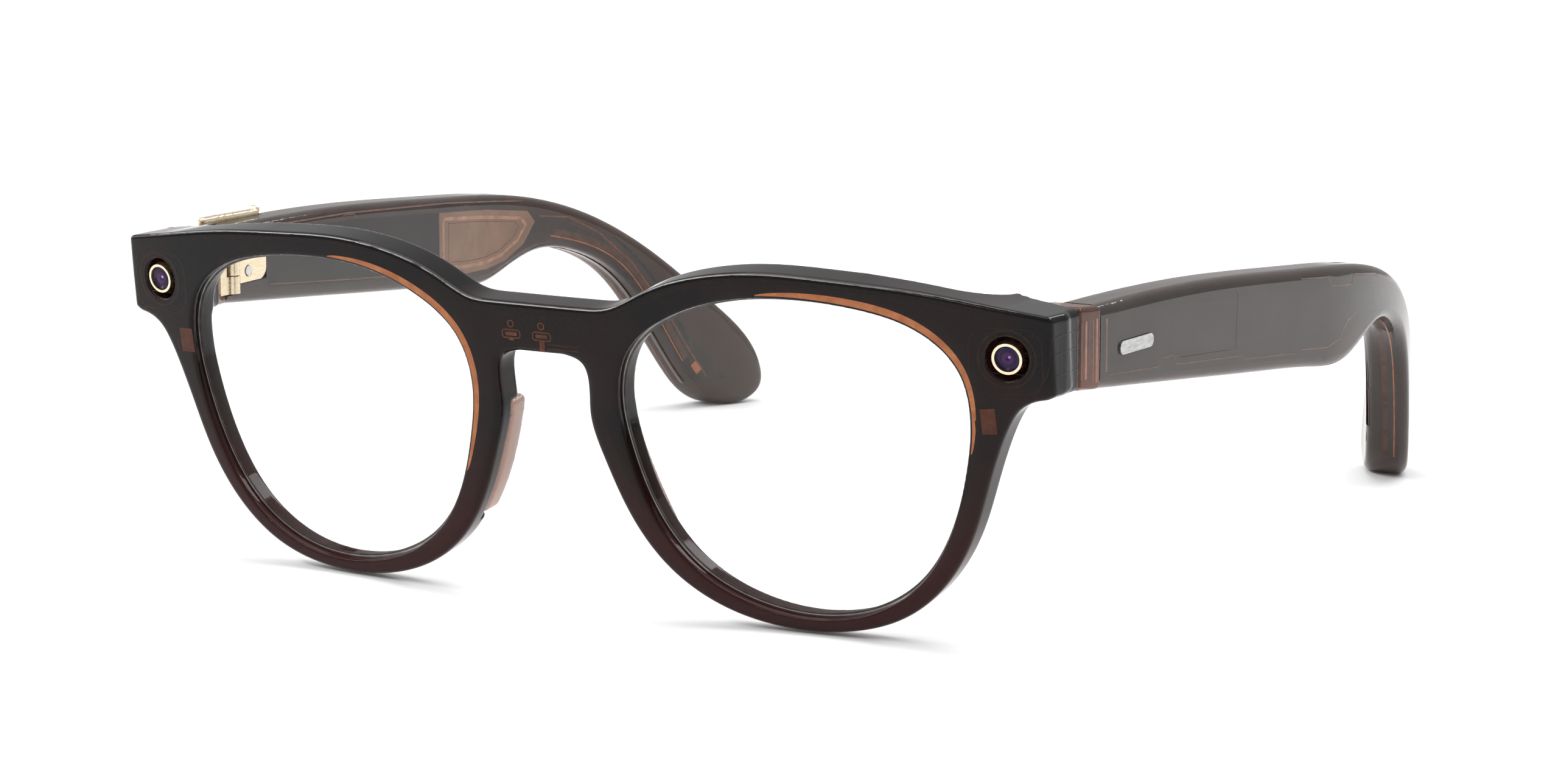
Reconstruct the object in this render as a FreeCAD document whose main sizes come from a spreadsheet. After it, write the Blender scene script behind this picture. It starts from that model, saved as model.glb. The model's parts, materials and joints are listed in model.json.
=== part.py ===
import FreeCAD, Part
import Sketcher
import math
import os
from FreeCAD import Placement, Rotation, Vector

# Smart glasses, worn position: the face of the front looks along -Y, the wearer's left is +X,
# the temples run back along +Y and stand level. Z is 0 on the table that the rims and the
# two temple tips stand on. All sizes are millimetres.

SIZES = [
    # front
    ("eye_height", 24.35, "height of the lens centres above the table"),
    ("front_y", -74.6, "Y of the front face at the bridge"),
    ("front_tilt", 8.68, "pantoscopic tilt of the front, degrees"),
    ("face_radius", 385.0, "radius of the domed front face"),
    ("front_depth", 4.7, "rim depth, front to back, at lens centre height"),
    ("rear_drop", 8.0, "how far the rear dome's centre lies below the front dome's"),
    ("parting_depth", 2.8, "depth of the joint between the front and rear shells"),
    ("half_front", 72.4, "half width of the front"),
    ("lens_x", 36.5, "distance of each lens centre from the middle"),
    ("lens_front", 1.7, "depth of the lens's front face"),
    ("lens_thickness", 1.8, "lens thickness"),
    ("lens_bevel", 0.9, "how far the lens edge sits in its groove"),
    ("pad_depth", 7.0, "depth of the nose pads' rear face"),
    ("rear_shell_half", 62.2, "half width of the rear shell"),
    ("end_piece_y", 12.6, "Y, from the front face, where the hinge block starts"),
    ("gap_y", 18.4, "Y, from the front face, of the hinge block's rear face"),
    ("end_wall", 1.4, "wall of the hollow end pieces"),
    # camera and capture light
    ("eye_x", 66.6, "distance of the camera and the light from the middle"),
    ("eye_z", 14.45, "their height above the lens centres, in the front's own frame"),
    ("eye_splay", 7.5, "how far each looks outward, degrees"),
    ("eye_hole", 5.2, "diameter of the hole round a bezel"),
    ("bezel_front", 4.1, "bezel diameter at its face"),
    ("bezel_back", 4.9, "bezel diameter at its root"),
    ("bezel_bore", 3.4, "bezel bore"),
    ("bezel_depth", 1.8, "bezel depth"),
    ("glass_thickness", 0.7, "thickness of the glass in a bezel"),
    ("barrel_dia", 4.4, "camera lens barrel diameter"),
    ("barrel_length", 1.8, "camera lens barrel length"),
    ("sensor_side", 4.9, "side of the square camera module"),
    ("sensor_depth", 1.6, "depth of the camera module"),
    # bridge electronics
    ("contact_dia", 1.9, "charging contact diameter"),
    ("contact_length", 2.45, "charging contact length"),
    ("contact_pitch", 4.8, "distance between the two charging contacts"),
    ("contact_shift", -1.8, "X of the middle of the contact pair"),
    ("contact_z", 14.2, "height of the contacts in the front's own frame"),
    ("carrier_width", 9.6, "contact carrier width"),
    ("carrier_height", 3.2, "contact carrier height"),
    ("carrier_depth", 0.8, "contact carrier thickness"),
    ("carrier_back", 2.95, "depth of the carrier's and the microphone's rear faces"),
    ("mic_width", 3.0, "microphone length"),
    ("mic_height", 2.2, "microphone height"),
    ("mic_depth", 0.9, "microphone thickness"),
    ("mic_x", 5.6, "X of the microphone in the bridge"),
    # hinges
    ("hinge_x", 66.35, "distance of each hinge axis from the middle"),
    ("hinge_y", 20.2, "Y of each hinge axis from the front face"),
    ("knuckle_dia", 2.4, "hinge knuckle diameter"),
    ("pin_dia", 1.2, "hinge pin diameter"),
    ("pin_play", 0.04, "radial play of the hinge pin"),
    ("hinge_low", 10.9, "height of the hinge's lower end above the lens centres"),
    ("hinge_span", 8.0, "length of the three knuckles"),
    ("middle_low", 13.5, "height of the middle knuckle's lower end"),
    ("middle_span", 2.9, "length of the middle knuckle"),
    ("knuckle_gap", 0.08, "gap between knuckles"),
    ("leaf_thickness", 0.8, "hinge leaf thickness"),
    ("screw_dia", 1.4, "diameter of the screws' heads"),
    ("screw_length", 1.5, "length of the screws"),
    # temples
    ("temple_x", 69.3, "distance of a temple's middle plane from the middle, at the gap"),
    ("temple_gap", 0.25, "gap between hinge block and temple"),
    ("temple_splay", 2.8, "how far each temple opens outward, degrees"),
    ("temple_half", 3.25, "half of the temple's thickness"),
    ("bend_start", 66.0, "length of the temple's straight part"),
    ("bend_radius", 125.0, "radius of the temple's inward curve"),
    ("temple_fillet", 1.5, "rounding of the temple's long edges"),
    ("temple_wall", 1.3, "temple wall"),
    ("cover_thickness", 1.2, "thickness of the inner cover"),
    ("cover_gap", 0.05, "gap round the covers"),
    ("button_length", 14.6, "capture button length"),
    ("button_width", 1.5, "capture button width"),
    ("button_travel", 0.4, "capture button travel"),
    ("button_start", 0.4, "distance of the button's front end from the temple's front end"),
    ("button_x", 1.6, "how far the button lies outside the temple's middle plane"),
    ("switch_length", 3.6, "power switch knob length"),
    ("switch_width", 1.8, "power switch knob width"),
    ("switch_travel", 1.5, "power switch travel"),
    ("switch_y", 13.5, "distance of the power switch from the temple's front end"),
    ("switch_z", 13.2, "height of the power switch above the lens centres"),
    ("battery_length", 38.0, "battery length"),
    ("battery_height", 6.0, "battery height"),
    ("board_length", 44.0, "main board length"),
    ("board_height", 5.6, "main board height"),
    ("board_thickness", 0.6, "circuit board thickness"),
    ("cell_depth", 2.6, "battery thickness"),
    ("shield_depth", 1.3, "processor shield thickness"),
    ("speaker_length", 14.0, "speaker length"),
    ("speaker_height", 6.4, "speaker height"),
    ("speaker_depth", 2.6, "speaker thickness"),
    ("inlay_length", 9.0, "metal inlay length"),
    ("inlay_height", 1.8, "metal inlay height"),
    ("inlay_proud", 0.25, "how far the metal inlay stands out"),
    ("core_half", 1.3, "half thickness of the tip's core strip"),
    ("mesh_length", 6.6, "vent mesh length"),
    ("mesh_height", 0.5, "vent mesh thickness"),
    ("mesh_width", 0.9, "vent mesh width"),
    ("antenna_length", 30.0, "antenna length"),
    ("antenna_height", 5.0, "antenna height"),
    ("film_thickness", 0.2, "thickness of the antenna and the touch film"),
    ("housing_length", 4.6, "power switch housing length"),
    ("housing_height", 2.8, "power switch housing height"),
    ("housing_depth", 1.2, "power switch housing depth"),
    ("knob_depth", 1.6, "power switch knob depth"),
    ("shield_length", 13.0, "processor shield length"),
    ("shield_height", 5.0, "processor shield height"),
    ("coil_length", 8.0, "power coil length"),
    ("button_height", 2.45, "capture button height"),
    ("ridge_radius", 0.5, "radius of the ridge across the button's rear end"),
    ("button_floor", 18.2, "height of the floor of the button's pocket"),
    ("button_lean", 1.4, "how far the button leans back with the temple's top, degrees"),
    ("hinge_plate_end", 10.0, "distance of the hinge plate's rear end from the temple's front end"),
    ("dome_dia", 1.3, "dome switch diameter"),
    ("dome_height", 0.25, "dome switch height"),
]

doc = FreeCAD.newDocument("SmartGlasses")
sheet = doc.addObject("Spreadsheet::Sheet", "Sizes")
for row, (alias, value, note) in enumerate(SIZES, start=1):
    sheet.set("A%d" % row, alias)
    sheet.set("B%d" % row, str(value))
    sheet.set("C%d" % row, note)
    sheet.setAlias("B%d" % row, alias)
doc.recompute()

PIECES = []

# The wearer's left is +X.
NAME = {1: "left", -1: "right"}


def size(alias):
    return float(sheet.get(alias))


# ---------------------------------------------------------------- frames

EYE_LEVEL = Placement(Vector(0, size("front_y"), size("eye_height")), Rotation())
TILT = Placement(Vector(), Rotation(Vector(1, 0, 0), size("front_tilt")))
FRONT = EYE_LEVEL * TILT


def temple_frame(side):
    """The frame of one temple: x outward for the left one, y back along the temple."""
    origin = Vector(side * size("temple_x"), size("gap_y") + size("temple_gap"), 0)
    return EYE_LEVEL * Placement(origin, Rotation(Vector(0, 0, 1), -side * size("temple_splay")))


def eye_frame(side):
    """The frame of the camera or the light: z looks out along its axis, from its bezel's face."""
    x, z = size("eye_x"), size("eye_z")
    depth = size("face_radius") - math.sqrt(size("face_radius") ** 2 - x * x - z * z)
    turn = Rotation(Vector(0, 0, 1), side * size("eye_splay")) * Rotation(Vector(1, 0, 0), 90)
    return FRONT * Placement(Vector(side * x, depth, z), turn)


# ---------------------------------------------------------------- keeping pieces

def keep(obj, label):
    obj.Label = label
    PIECES.append(obj)
    return obj


def shape_piece(label, shape, place):
    """A free-form piece, modelled in its own frame and then placed."""
    obj = doc.addObject("Part::Feature", label)
    obj.Shape = shape
    obj.Placement = place
    return keep(obj, label)


# ---------------------------------------------------------------- sketched pieces

def origin_plane(body, role):
    return [f for f in body.Origin.OriginFeatures if f.Role == role][0]


def new_sketch(body, label, role):
    sketch = body.newObject("Sketcher::SketchObject", label + "_sketch")
    sketch.AttachmentSupport = (origin_plane(body, role), [""])
    sketch.MapMode = "FlatFace"
    return sketch


def centred_rectangle(sketch, width, height):
    """A rectangle about the sketch's origin whose sides follow two expressions."""
    corners = [Vector(-2, -1, 0), Vector(2, -1, 0), Vector(2, 1, 0), Vector(-2, 1, 0)]
    for a, b in zip(corners, corners[1:] + corners[:1]):
        sketch.addGeometry(Part.LineSegment(a, b), False)
    for i in range(4):
        sketch.addConstraint(Sketcher.Constraint("Coincident", i, 2, (i + 1) % 4, 1))
    for i in (0, 2):
        sketch.addConstraint(Sketcher.Constraint("Horizontal", i))
    for i in (1, 3):
        sketch.addConstraint(Sketcher.Constraint("Vertical", i))
    sketch.addConstraint(Sketcher.Constraint("Symmetric", 0, 1, 2, 1, -1, 1))
    wide = sketch.addConstraint(Sketcher.Constraint("DistanceX", 0, 1, 0, 2, 4))
    high = sketch.addConstraint(Sketcher.Constraint("DistanceY", 1, 1, 1, 2, 2))
    sketch.setExpression("Constraints[%d]" % wide, width)
    sketch.setExpression("Constraints[%d]" % high, height)


def centred_circle(sketch, diameter):
    circle = sketch.addGeometry(Part.Circle(Vector(), Vector(0, 0, 1), 2), False)
    sketch.addConstraint(Sketcher.Constraint("Coincident", circle, 3, -1, 1))
    wide = sketch.addConstraint(Sketcher.Constraint("Diameter", circle, 4))
    sketch.setExpression("Constraints[%d]" % wide, diameter)


def add_pad(body, label, sketch, length):
    pad = body.newObject("PartDesign::Pad", label + "_pad")
    pad.Profile = sketch
    pad.setExpression("Length", length)
    doc.recompute()
    return pad


def block(label, role, width, height, depth, place, rounded):
    """A padded rectangle with its corners rounded."""
    body = doc.addObject("PartDesign::Body", label)
    sketch = new_sketch(body, label, role)
    centred_rectangle(sketch, width, height)
    pad = add_pad(body, label, sketch, depth)
    fillet = body.newObject("PartDesign::Fillet", label + "_fillet")
    fillet.Base = (pad, corner_edges(pad.Shape, role))
    fillet.Radius = rounded
    body.Placement = place
    return keep(body, label)


def corner_edges(shape, role):
    """Names of the edges that run along the pad's direction."""
    normals = {"XY_Plane": Vector(0, 0, 1), "XZ_Plane": Vector(0, 1, 0), "YZ_Plane": Vector(1, 0, 0)}
    direction = normals[role]
    names = []
    for i, edge in enumerate(shape.Edges, start=1):
        run = edge.Vertexes[-1].Point - edge.Vertexes[0].Point
        if run.Length > 0 and abs(abs(run.normalize() * direction) - 1) < 1e-6:
            names.append("Edge%d" % i)
    return names


def disc(label, diameter, length, place):
    """A padded circle along its own z axis."""
    body = doc.addObject("PartDesign::Body", label)
    sketch = new_sketch(body, label, "XY_Plane")
    centred_circle(sketch, diameter)
    add_pad(body, label, sketch, length)
    body.Placement = place
    return keep(body, label)


# ---------------------------------------------------------------- outlines

def spline(points):
    curve = Part.BSplineCurve()
    curve.interpolate(points)
    return curve


def spans(curve, points):
    """The curve as a run of shorter edges, each three points long."""
    inner = [curve.parameter(point) for point in points[3:-1:3]]
    cuts = [curve.FirstParameter] + inner + [curve.LastParameter]
    edges = []
    for start, end in zip(cuts, cuts[1:]):
        piece = curve.copy()
        piece.segment(start, end)
        edges.append(piece.toShape())
    return edges


def closed_loop(points):
    """A smooth closed curve through the points, as a run of edges."""
    curve = Part.BSplineCurve()
    curve.interpolate(Points=points, PeriodicFlag=True)
    return spans(curve, points)


def prism(edges, direction):
    """A solid from a closed loop of edges."""
    wire = Part.Wire(Part.__sortEdges__(edges))
    return Part.Face(wire).extrude(direction)


# Lens opening: (x, z) from the middle of the front and the lens centre's height, left lens.
OPENING = [
    (61.2, 6.5), (59.8, 12.7), (55.2, 17.2), (46.0, 20.1), (37.0, 20.9), (28.0, 20.2),
    (19.5, 17.3), (13.3, 12.2), (11.5, 6.0), (12.5, -1.5), (15.1, -9.3), (20.5, -16.8),
    (28.5, -21.3), (37.5, -22.8), (46.0, -21.3), (53.0, -16.7), (57.8, -9.0), (60.3, -0.8),
]

# Lower edge of the front, from the end piece round the rim and up into the keyhole.
LOWER_EDGE = [
    (70.2, 8.9), (67.8, 7.6), (66.2, 5.4), (64.6, 1.8), (63.1, -2.4), (60.7, -9.3),
    (56.6, -16.4), (50.0, -22.0), (41.0, -24.6), (31.5, -24.4), (22.9, -21.8), (16.3, -17.1),
    (11.8, -10.8), (8.4, -2.6), (6.9, 3.2), (7.0, 7.4), (6.3, 10.0), (3.4, 11.1),
]

# Upper edge of the front, from the middle of the bridge to beyond the end piece.
UPPER_EDGE = [
    (0.0, 17.8), (7.0, 17.8), (10.8, 18.1), (14.2, 19.6), (18.2, 21.5), (24.5, 23.3),
    (33.0, 24.2), (43.0, 23.8), (55.0, 22.8), (66.0, 21.1), (75.0, 19.6),
]

# Nose pad outline: along the nose, and back along the lens.
PAD_NOSE_SIDE = [(6.9, 3.0), (8.4, -2.6), (11.8, -10.8), (14.2, -14.6)]
PAD_LENS_SIDE = [(15.4, -13.0), (13.9, -9.5), (11.5, -2.6), (10.2, 3.0)]

# Side outline of a temple: (distance back, height above the lens centres).
TEMPLE = [
    (0.0, 9.5), (24.0, 7.1), (46.0, 4.9), (63.0, 3.1), (73.0, 2.6), (79.0, 4.2), (87.0, 6.0),
    (96.0, 4.7), (105.0, 0.0), (112.5, -9.2), (118.0, -17.9), (122.6, -23.0), (127.6, -24.3),
    (131.6, -21.9), (131.6, -17.6), (124.0, -7.2), (113.5, 1.9), (101.0, 9.5), (86.0, 14.4),
    (63.5, 17.2), (32.0, 19.7), (0.0, 20.5),
]


def mirrored(points):
    """The points and their mirror images in one run, from -x to +x."""
    return [(-x, z) for x, z in reversed(points) if x > 0] + list(points)


def in_front(points, y=0.0):
    return [Vector(x, y, z) for x, z in points]


def dome(depth, drop=0.0):
    """The ball whose surface lies the given depth behind the front face."""
    radius = size("face_radius")
    return Part.makeSphere(radius - depth, Vector(0, radius, -drop))


def opening_prism(side, grow=0.0):
    """The lens opening as a prism through the front, grown about the lens centre."""
    factor = 1 + grow / 24.0
    centre = size("lens_x")
    points = [(side * (centre + (x - centre) * factor), z * factor) for x, z in OPENING]
    return prism(closed_loop(in_front(points, -10)), Vector(0, 40, 0))


def top_cutter():
    """What lies above the front: its lower face is square to the rims and level at the end pieces."""
    level = math.tan(math.radians(size("front_tilt")))
    near_y, far_y = -4.0, 16.0
    near, rear = [], []
    for x, z in mirrored(UPPER_EDGE):
        share = min(1.0, max(0.0, (abs(x) - 46.0) / 20.0))
        depth = x * x / (2 * size("face_radius"))
        near.append((x, z - share * level * (near_y - depth)))
        rear.append((x, z - share * level * (far_y - depth)))
    lines = [spline(in_front(near, near_y)).toShape(), spline(in_front(rear, far_y)).toShape()]
    return Part.makeRuledSurface(lines[0], lines[1]).extrude(Vector(0, 0, 20))


def front_prism():
    """The front's lower outline, tall enough to be trimmed by the top cutter."""
    half, high, low = size("half_front"), 30.0, 9.6
    edges = []
    for side in (1, -1):
        points = [Vector(side * x, -6, z) for x, z in LOWER_EDGE]
        corner = Vector(side * half, -6, low)
        top = Vector(side * half, -6, high)
        middle = Vector(0, -6, LOWER_EDGE[-1][1])
        edges += spans(spline(points), points)
        edges.append(Part.LineSegment(top, corner).toShape())
        edges.append(Part.LineSegment(corner, points[0]).toShape())
        edges.append(Part.LineSegment(points[-1], middle).toShape())
    edges.append(Part.LineSegment(Vector(half, -6, high), Vector(-half, -6, high)).toShape())
    return prism(edges, Vector(0, 30, 0))


def level_prism(points, low, high):
    """A plan outline in the worn frame as an upright prism, in the front's own frame."""
    corners = [Vector(x, y, low) for x, y in points]
    solid = Part.Face(Part.makePolygon(corners + corners[:1])).extrude(Vector(0, 0, high - low))
    solid.Placement = TILT.inverse()
    return solid


def end_piece(side):
    """The deep end piece that wraps back from the front face to the hinge block."""
    outer, back = size("half_front"), size("end_piece_y")
    plan = [(outer, 0), (outer + 0.1, back), (63.3, back), (62.4, 9.5), (62.4, 0)]
    solid = level_prism([(side * x, y) for x, y in plan], 10.2, 28.0)
    return solid.common(dome(0))


def front_blank():
    """Both shells of the front in one solid, without its openings."""
    rims = front_prism().common(dome(0)).cut(dome(size("front_depth"), size("rear_drop")))
    solid = rims.fuse([end_piece(1), end_piece(-1)]).cut(top_cutter()).removeSplitter()
    return solid.Solids[0]


def rear_zone(half):
    """The space behind the joint between the two shells."""
    return Part.makeBox(2 * half, 60, 80, Vector(-half, -5, -40)).common(dome(size("parting_depth")))


def lens_shape(side, play=0.0):
    """A domed lens, or with play the groove that it sits in."""
    front = size("lens_front")
    solid = opening_prism(side, size("lens_bevel") + play).common(dome(front - play))
    return solid.cut(dome(front + size("lens_thickness") + play))


def brow_strip(above, below, front, back):
    """A strip that follows the brow, between two distances under its upper edge."""
    end = size("rear_shell_half") + 1.0
    points = [(x, z) for x, z in UPPER_EDGE if x < end - 3] + [(end, 21.4)]
    high = [Vector(x, -2, z - above) for x, z in mirrored(points)]
    low = [Vector(x, -2, z - below) for x, z in mirrored(points)]
    edges = spans(spline(high), high) + spans(spline(low), low)
    edges.append(Part.LineSegment(high[0], low[0]).toShape())
    edges.append(Part.LineSegment(high[-1], low[-1]).toShape())
    return prism(edges, Vector(0, 30, 0)).common(dome(front)).cut(dome(back))


def end_cavity(side):
    """The hollow of an end piece, open towards the hinge block."""
    wall, back = size("end_wall"), size("end_piece_y") + 0.5
    outer = size("half_front") - wall
    plan = [(outer, 0), (outer, back), (64.4, back), (63.3, 9.5), (63.3, 0)]
    return level_prism([(side * x, y) for x, y in plan], 11.7, 19.3).common(dome(wall + 0.2))


def eye_hole(side):
    hole = Part.makeCylinder(size("eye_hole") / 2, 9, Vector(0, 0, -5))
    hole.Placement = FRONT.inverse() * eye_frame(side)
    return hole


def bridge_pocket(x, width, height, depth):
    """A pocket in the back of the front shell for a part in the bridge."""
    play = size("cover_gap")
    corner = Vector(x - width / 2 - play, size("carrier_back") - depth - play,
                    size("contact_z") - height / 2 - play)
    return Part.makeBox(width + 2 * play, depth + 2, height + 2 * play, corner)


def contact_axes():
    middle, half = size("contact_shift"), size("contact_pitch") / 2
    return [middle - half, middle + half]


def nose_pad_prism(side):
    nose = [Vector(side * x, -2, z) for x, z in PAD_NOSE_SIDE]
    lens = [Vector(side * x, -2, z) for x, z in PAD_LENS_SIDE]
    edges = [spline(nose).toShape(), spline(lens).toShape()]
    edges.append(Part.LineSegment(nose[-1], lens[0]).toShape())
    edges.append(Part.LineSegment(lens[-1], nose[0]).toShape())
    return prism(edges, Vector(0, 30, 0))


def make_front_shell(blank):
    shell = blank.cut(rear_zone(size("rear_shell_half")))
    cuts = [brow_strip(0.9, 2.1, 1.6, 4.0)]
    cuts.append(bridge_pocket(size("contact_shift"), size("carrier_width"),
                              size("carrier_height"), size("carrier_depth")))
    cuts.append(bridge_pocket(size("mic_x"), size("mic_width"), size("mic_height"), size("mic_depth")))
    for side in (1, -1):
        cuts += [opening_prism(side), lens_shape(side, 0.03), eye_hole(side), end_cavity(side)]
    shape_piece("front_shell", shell.cut(cuts).removeSplitter().Solids[0], FRONT)


def make_rear_shell(blank):
    shell = blank.common(rear_zone(size("rear_shell_half") - size("cover_gap")))
    cuts = []
    for side in (1, -1):
        cuts += [opening_prism(side, 0.25), lens_shape(side, 0.03), nose_pad_prism(side)]
    for x in contact_axes():
        hole = Part.makeCylinder(size("contact_dia") / 2 + size("cover_gap"), 12,
                                 Vector(x, 0, size("contact_z")), Vector(0, 1, 0))
        cuts.append(hole)
    shape_piece("rear_shell", shell.cut(cuts).removeSplitter().Solids[0], FRONT)


def make_lens(side):
    shape_piece("lens_" + NAME[side], lens_shape(side), FRONT)


def make_nose_pad(side):
    pad = nose_pad_prism(side).common(dome(size("parting_depth"))).cut(dome(size("pad_depth")))
    shape_piece("nose_pad_" + NAME[side], pad, FRONT)


def make_bridge_parts():
    back = size("carrier_back")
    z, middle = size("contact_z"), size("contact_shift")
    lie = Rotation(Vector(1, 0, 0), -90)
    block("contact_carrier", "XZ_Plane", "Sizes.carrier_width", "Sizes.carrier_height",
          "Sizes.carrier_depth", FRONT * Placement(Vector(middle, back, z), Rotation()), 0.6)
    block("nose_microphone", "XZ_Plane", "Sizes.mic_width", "Sizes.mic_height", "Sizes.mic_depth",
          FRONT * Placement(Vector(size("mic_x"), back, z), Rotation()), 0.3)
    solids = []
    for x in contact_axes():
        pin = doc.addObject("Part::Cylinder", "contact")
        pin.setExpression("Radius", "Sizes.contact_dia / 2")
        pin.setExpression("Height", "Sizes.contact_length")
        pin.Placement = FRONT * Placement(Vector(x, back + 0.02, z), lie)
        solids.append(pin)
    contacts = doc.addObject("Part::Compound", "charge_contacts")
    contacts.Links = solids
    keep(contacts, "charge_contacts")
    shape_piece("brow_flex", brow_strip(1.1, 1.9, 1.9, 2.2), FRONT)


def make_eye(side, names):
    """The camera or the capture light behind its bezel."""
    ring, glass, barrel, module = names
    place = eye_frame(side)
    cone = doc.addObject("Part::Cone", ring + "_cone")
    cone.setExpression("Radius1", "Sizes.bezel_back / 2")
    cone.setExpression("Radius2", "Sizes.bezel_front / 2")
    cone.setExpression("Height", "Sizes.bezel_depth")
    bore = doc.addObject("Part::Cylinder", ring + "_bore")
    bore.setExpression("Radius", "Sizes.bezel_bore / 2")
    bore.setExpression("Height", "Sizes.bezel_depth * 2")
    cone.setExpression("Placement.Base.z", "-Sizes.bezel_depth")
    bore.setExpression("Placement.Base.z", "-Sizes.bezel_depth * 1.5")
    bezel = doc.addObject("Part::Cut", ring)
    bezel.Base, bezel.Tool = cone, bore
    bezel.Placement = place
    keep(bezel, ring)

    radius, thick = size("bezel_bore") / 2 - 0.02, size("glass_thickness")
    glass_disc = Part.makeCylinder(radius, thick, Vector(0, 0, -thick - 0.25))
    domed = glass_disc.common(Part.makeSphere(6.0, Vector(0, 0, -6.25)))
    shape_piece(glass, domed, place)

    below = -size("bezel_depth") - size("cover_gap")
    barrel_place = place * Placement(Vector(0, 0, below - size("barrel_length")), Rotation())
    disc(barrel, "Sizes.barrel_dia", "Sizes.barrel_length", barrel_place)
    depth = below - size("barrel_length") - size("cover_gap") - size("sensor_depth")
    block(module, "XY_Plane", "Sizes.sensor_side", "Sizes.sensor_side", "Sizes.sensor_depth",
          place * Placement(Vector(0, 0, depth), Rotation()), 0.5)


# ---------------------------------------------------------------- hinges

def upright(x, y, low, height, radius):
    return Part.makeCylinder(radius, height, Vector(x, y, low))


def make_end_block(side):
    """The translucent block behind the end piece that carries the hinge."""
    front, back = size("end_piece_y") + size("cover_gap"), size("gap_y")
    outer = size("half_front") + 0.1
    plan = [(outer, front), (outer + 0.2, back), (66.1, back), (65.4, 16.6), (63.6, front)]
    corners = [Vector(side * x, y, 0) for x, y in plan]
    solid = Part.Face(Part.makePolygon(corners + corners[:1])).extrude(Vector(0, 0, 30))
    profile = [(front, 10.2), (back, 9.6), (back, 20.5), (front, 21.0)]
    corners = [Vector(-90, y, z) for y, z in profile]
    solid = solid.common(Part.Face(Part.makePolygon(corners + corners[:1])).extrude(Vector(180, 0, 0)))
    long_edges = [e for e in solid.Edges if e.Length > 5 and all(abs(v.Point.x) > 70 for v in e.Vertexes)]
    solid = solid.makeFillet(0.7, [e for e in long_edges if abs(e.Vertexes[0].Y - e.Vertexes[-1].Y) > 1])
    x, low, span = side * size("hinge_x"), size("hinge_low"), size("hinge_span")
    leaf = size("leaf_thickness") / 2 + size("cover_gap")
    slot = Part.makeBox(2 * leaf, 12, span + 0.1, Vector(x - leaf, 14.0, low - 0.05))
    room = upright(x, size("hinge_y"), low - 0.3, span + 0.6, size("knuckle_dia") / 2 + 0.3)
    shape_piece("end_block_" + NAME[side], solid.cut([slot, room]).Solids[0], EYE_LEVEL)


def knuckle_gap_box(x, reach):
    """The room between the two outer knuckles."""
    play = size("knuckle_gap")
    low = size("middle_low") - play
    return Part.makeBox(6, reach, size("middle_span") + 2 * play, Vector(x - 3, size("gap_y") + 0.1, low))


def make_front_hinge(side):
    """The hinge leaf in the end block, with the upper and lower knuckle."""
    x, y, low, span = side * size("hinge_x"), size("hinge_y"), size("hinge_low"), size("hinge_span")
    half = size("leaf_thickness") / 2
    plate = Part.makeBox(2 * half, y - 14.1, span, Vector(x - half, 14.1, low))
    leaf = plate.fuse(upright(x, y, low, span, size("knuckle_dia") / 2)).removeSplitter()
    leaf = leaf.cut([knuckle_gap_box(x, 6), upright(x, y, low - 1, span + 2, size("pin_dia") / 2)])
    shape_piece("front_hinge_" + NAME[side], leaf.Solids[0], EYE_LEVEL)


def make_hinge_pin(side):
    foot = Vector(side * size("hinge_x"), size("hinge_y"), size("hinge_low"))
    place = EYE_LEVEL * Placement(foot, Rotation())
    disc("hinge_pin_" + NAME[side], "Sizes.pin_dia", "Sizes.hinge_span", place)


def hinge_axis(side):
    """The hinge axis in the temple's own frame."""
    point = Vector(side * size("hinge_x"), size("hinge_y"), 0)
    local = (EYE_LEVEL.inverse() * temple_frame(side)).inverse().multVec(point)
    return local.x, local.y


def make_temple_hinge(side):
    """The gold leaf on the temple's inner face, with the middle knuckle."""
    x, y = hinge_axis(side)
    thick, low, high = size("leaf_thickness"), 12.0, 18.7
    inner = -size("temple_half") - 0.1
    start = inner if side > 0 else -inner - thick
    profile = Part.makeBox(thick, size("hinge_plate_end") - y, high - low, Vector(start, y, low))
    corner = [e for e in profile.Edges if abs(e.Length - thick) < 1e-6 and e.Vertexes[0].Y > y + 1]
    leaf = profile.makeFillet(1.8, corner)
    bottom, span = size("middle_low"), size("middle_span")
    around = size("knuckle_dia") / 2 + 0.25
    leaf = leaf.cut([upright(x, y, low - 1, bottom - low + 1, around),
                     upright(x, y, bottom + span, 6, around)])
    leaf = leaf.fuse(upright(x, y, bottom, span, size("knuckle_dia") / 2)).removeSplitter()
    bore = upright(x, y, low - 2, 12, size("pin_dia") / 2 + size("pin_play"))
    leaf = leaf.cut([bore] + screws(side, 0.03))
    shape_piece("temple_hinge_" + NAME[side], leaf.Solids[0], temple_frame(side))


def screws(side, play=0.0):
    """The two screws that hold the temple's hinge leaf."""
    solids = []
    head, length = size("screw_dia") / 2 + play, size("screw_length")
    outward = Vector(side, 0, 0)
    face = -side * (size("temple_half") + 0.2)
    for y, z in ((5.2, 13.7), (7.6, 16.6)):
        top = Vector(face, y, z)
        screw = Part.makeCylinder(head, 0.45 + play, top, outward)
        shank = Part.makeCylinder(head * 0.55, length + play, top, outward)
        solids.append(screw.fuse(shank).removeSplitter())
    return solids


def make_screws(side):
    shape_piece("hinge_screws_" + NAME[side], Part.makeCompound(screws(side)), temple_frame(side))


# ---------------------------------------------------------------- temples

def side_prism(side, points, low, high):
    """A straight-sided outline in the temple's side view, between two distances from its middle."""
    corners = [Vector(0, y, z) for y, z in points]
    start, end = sorted((side * low, side * high))
    solid = Part.Face(Part.makePolygon(corners + corners[:1])).extrude(Vector(end - start, 0, 0))
    solid.translate(Vector(start, 0, 0))
    return solid


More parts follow.
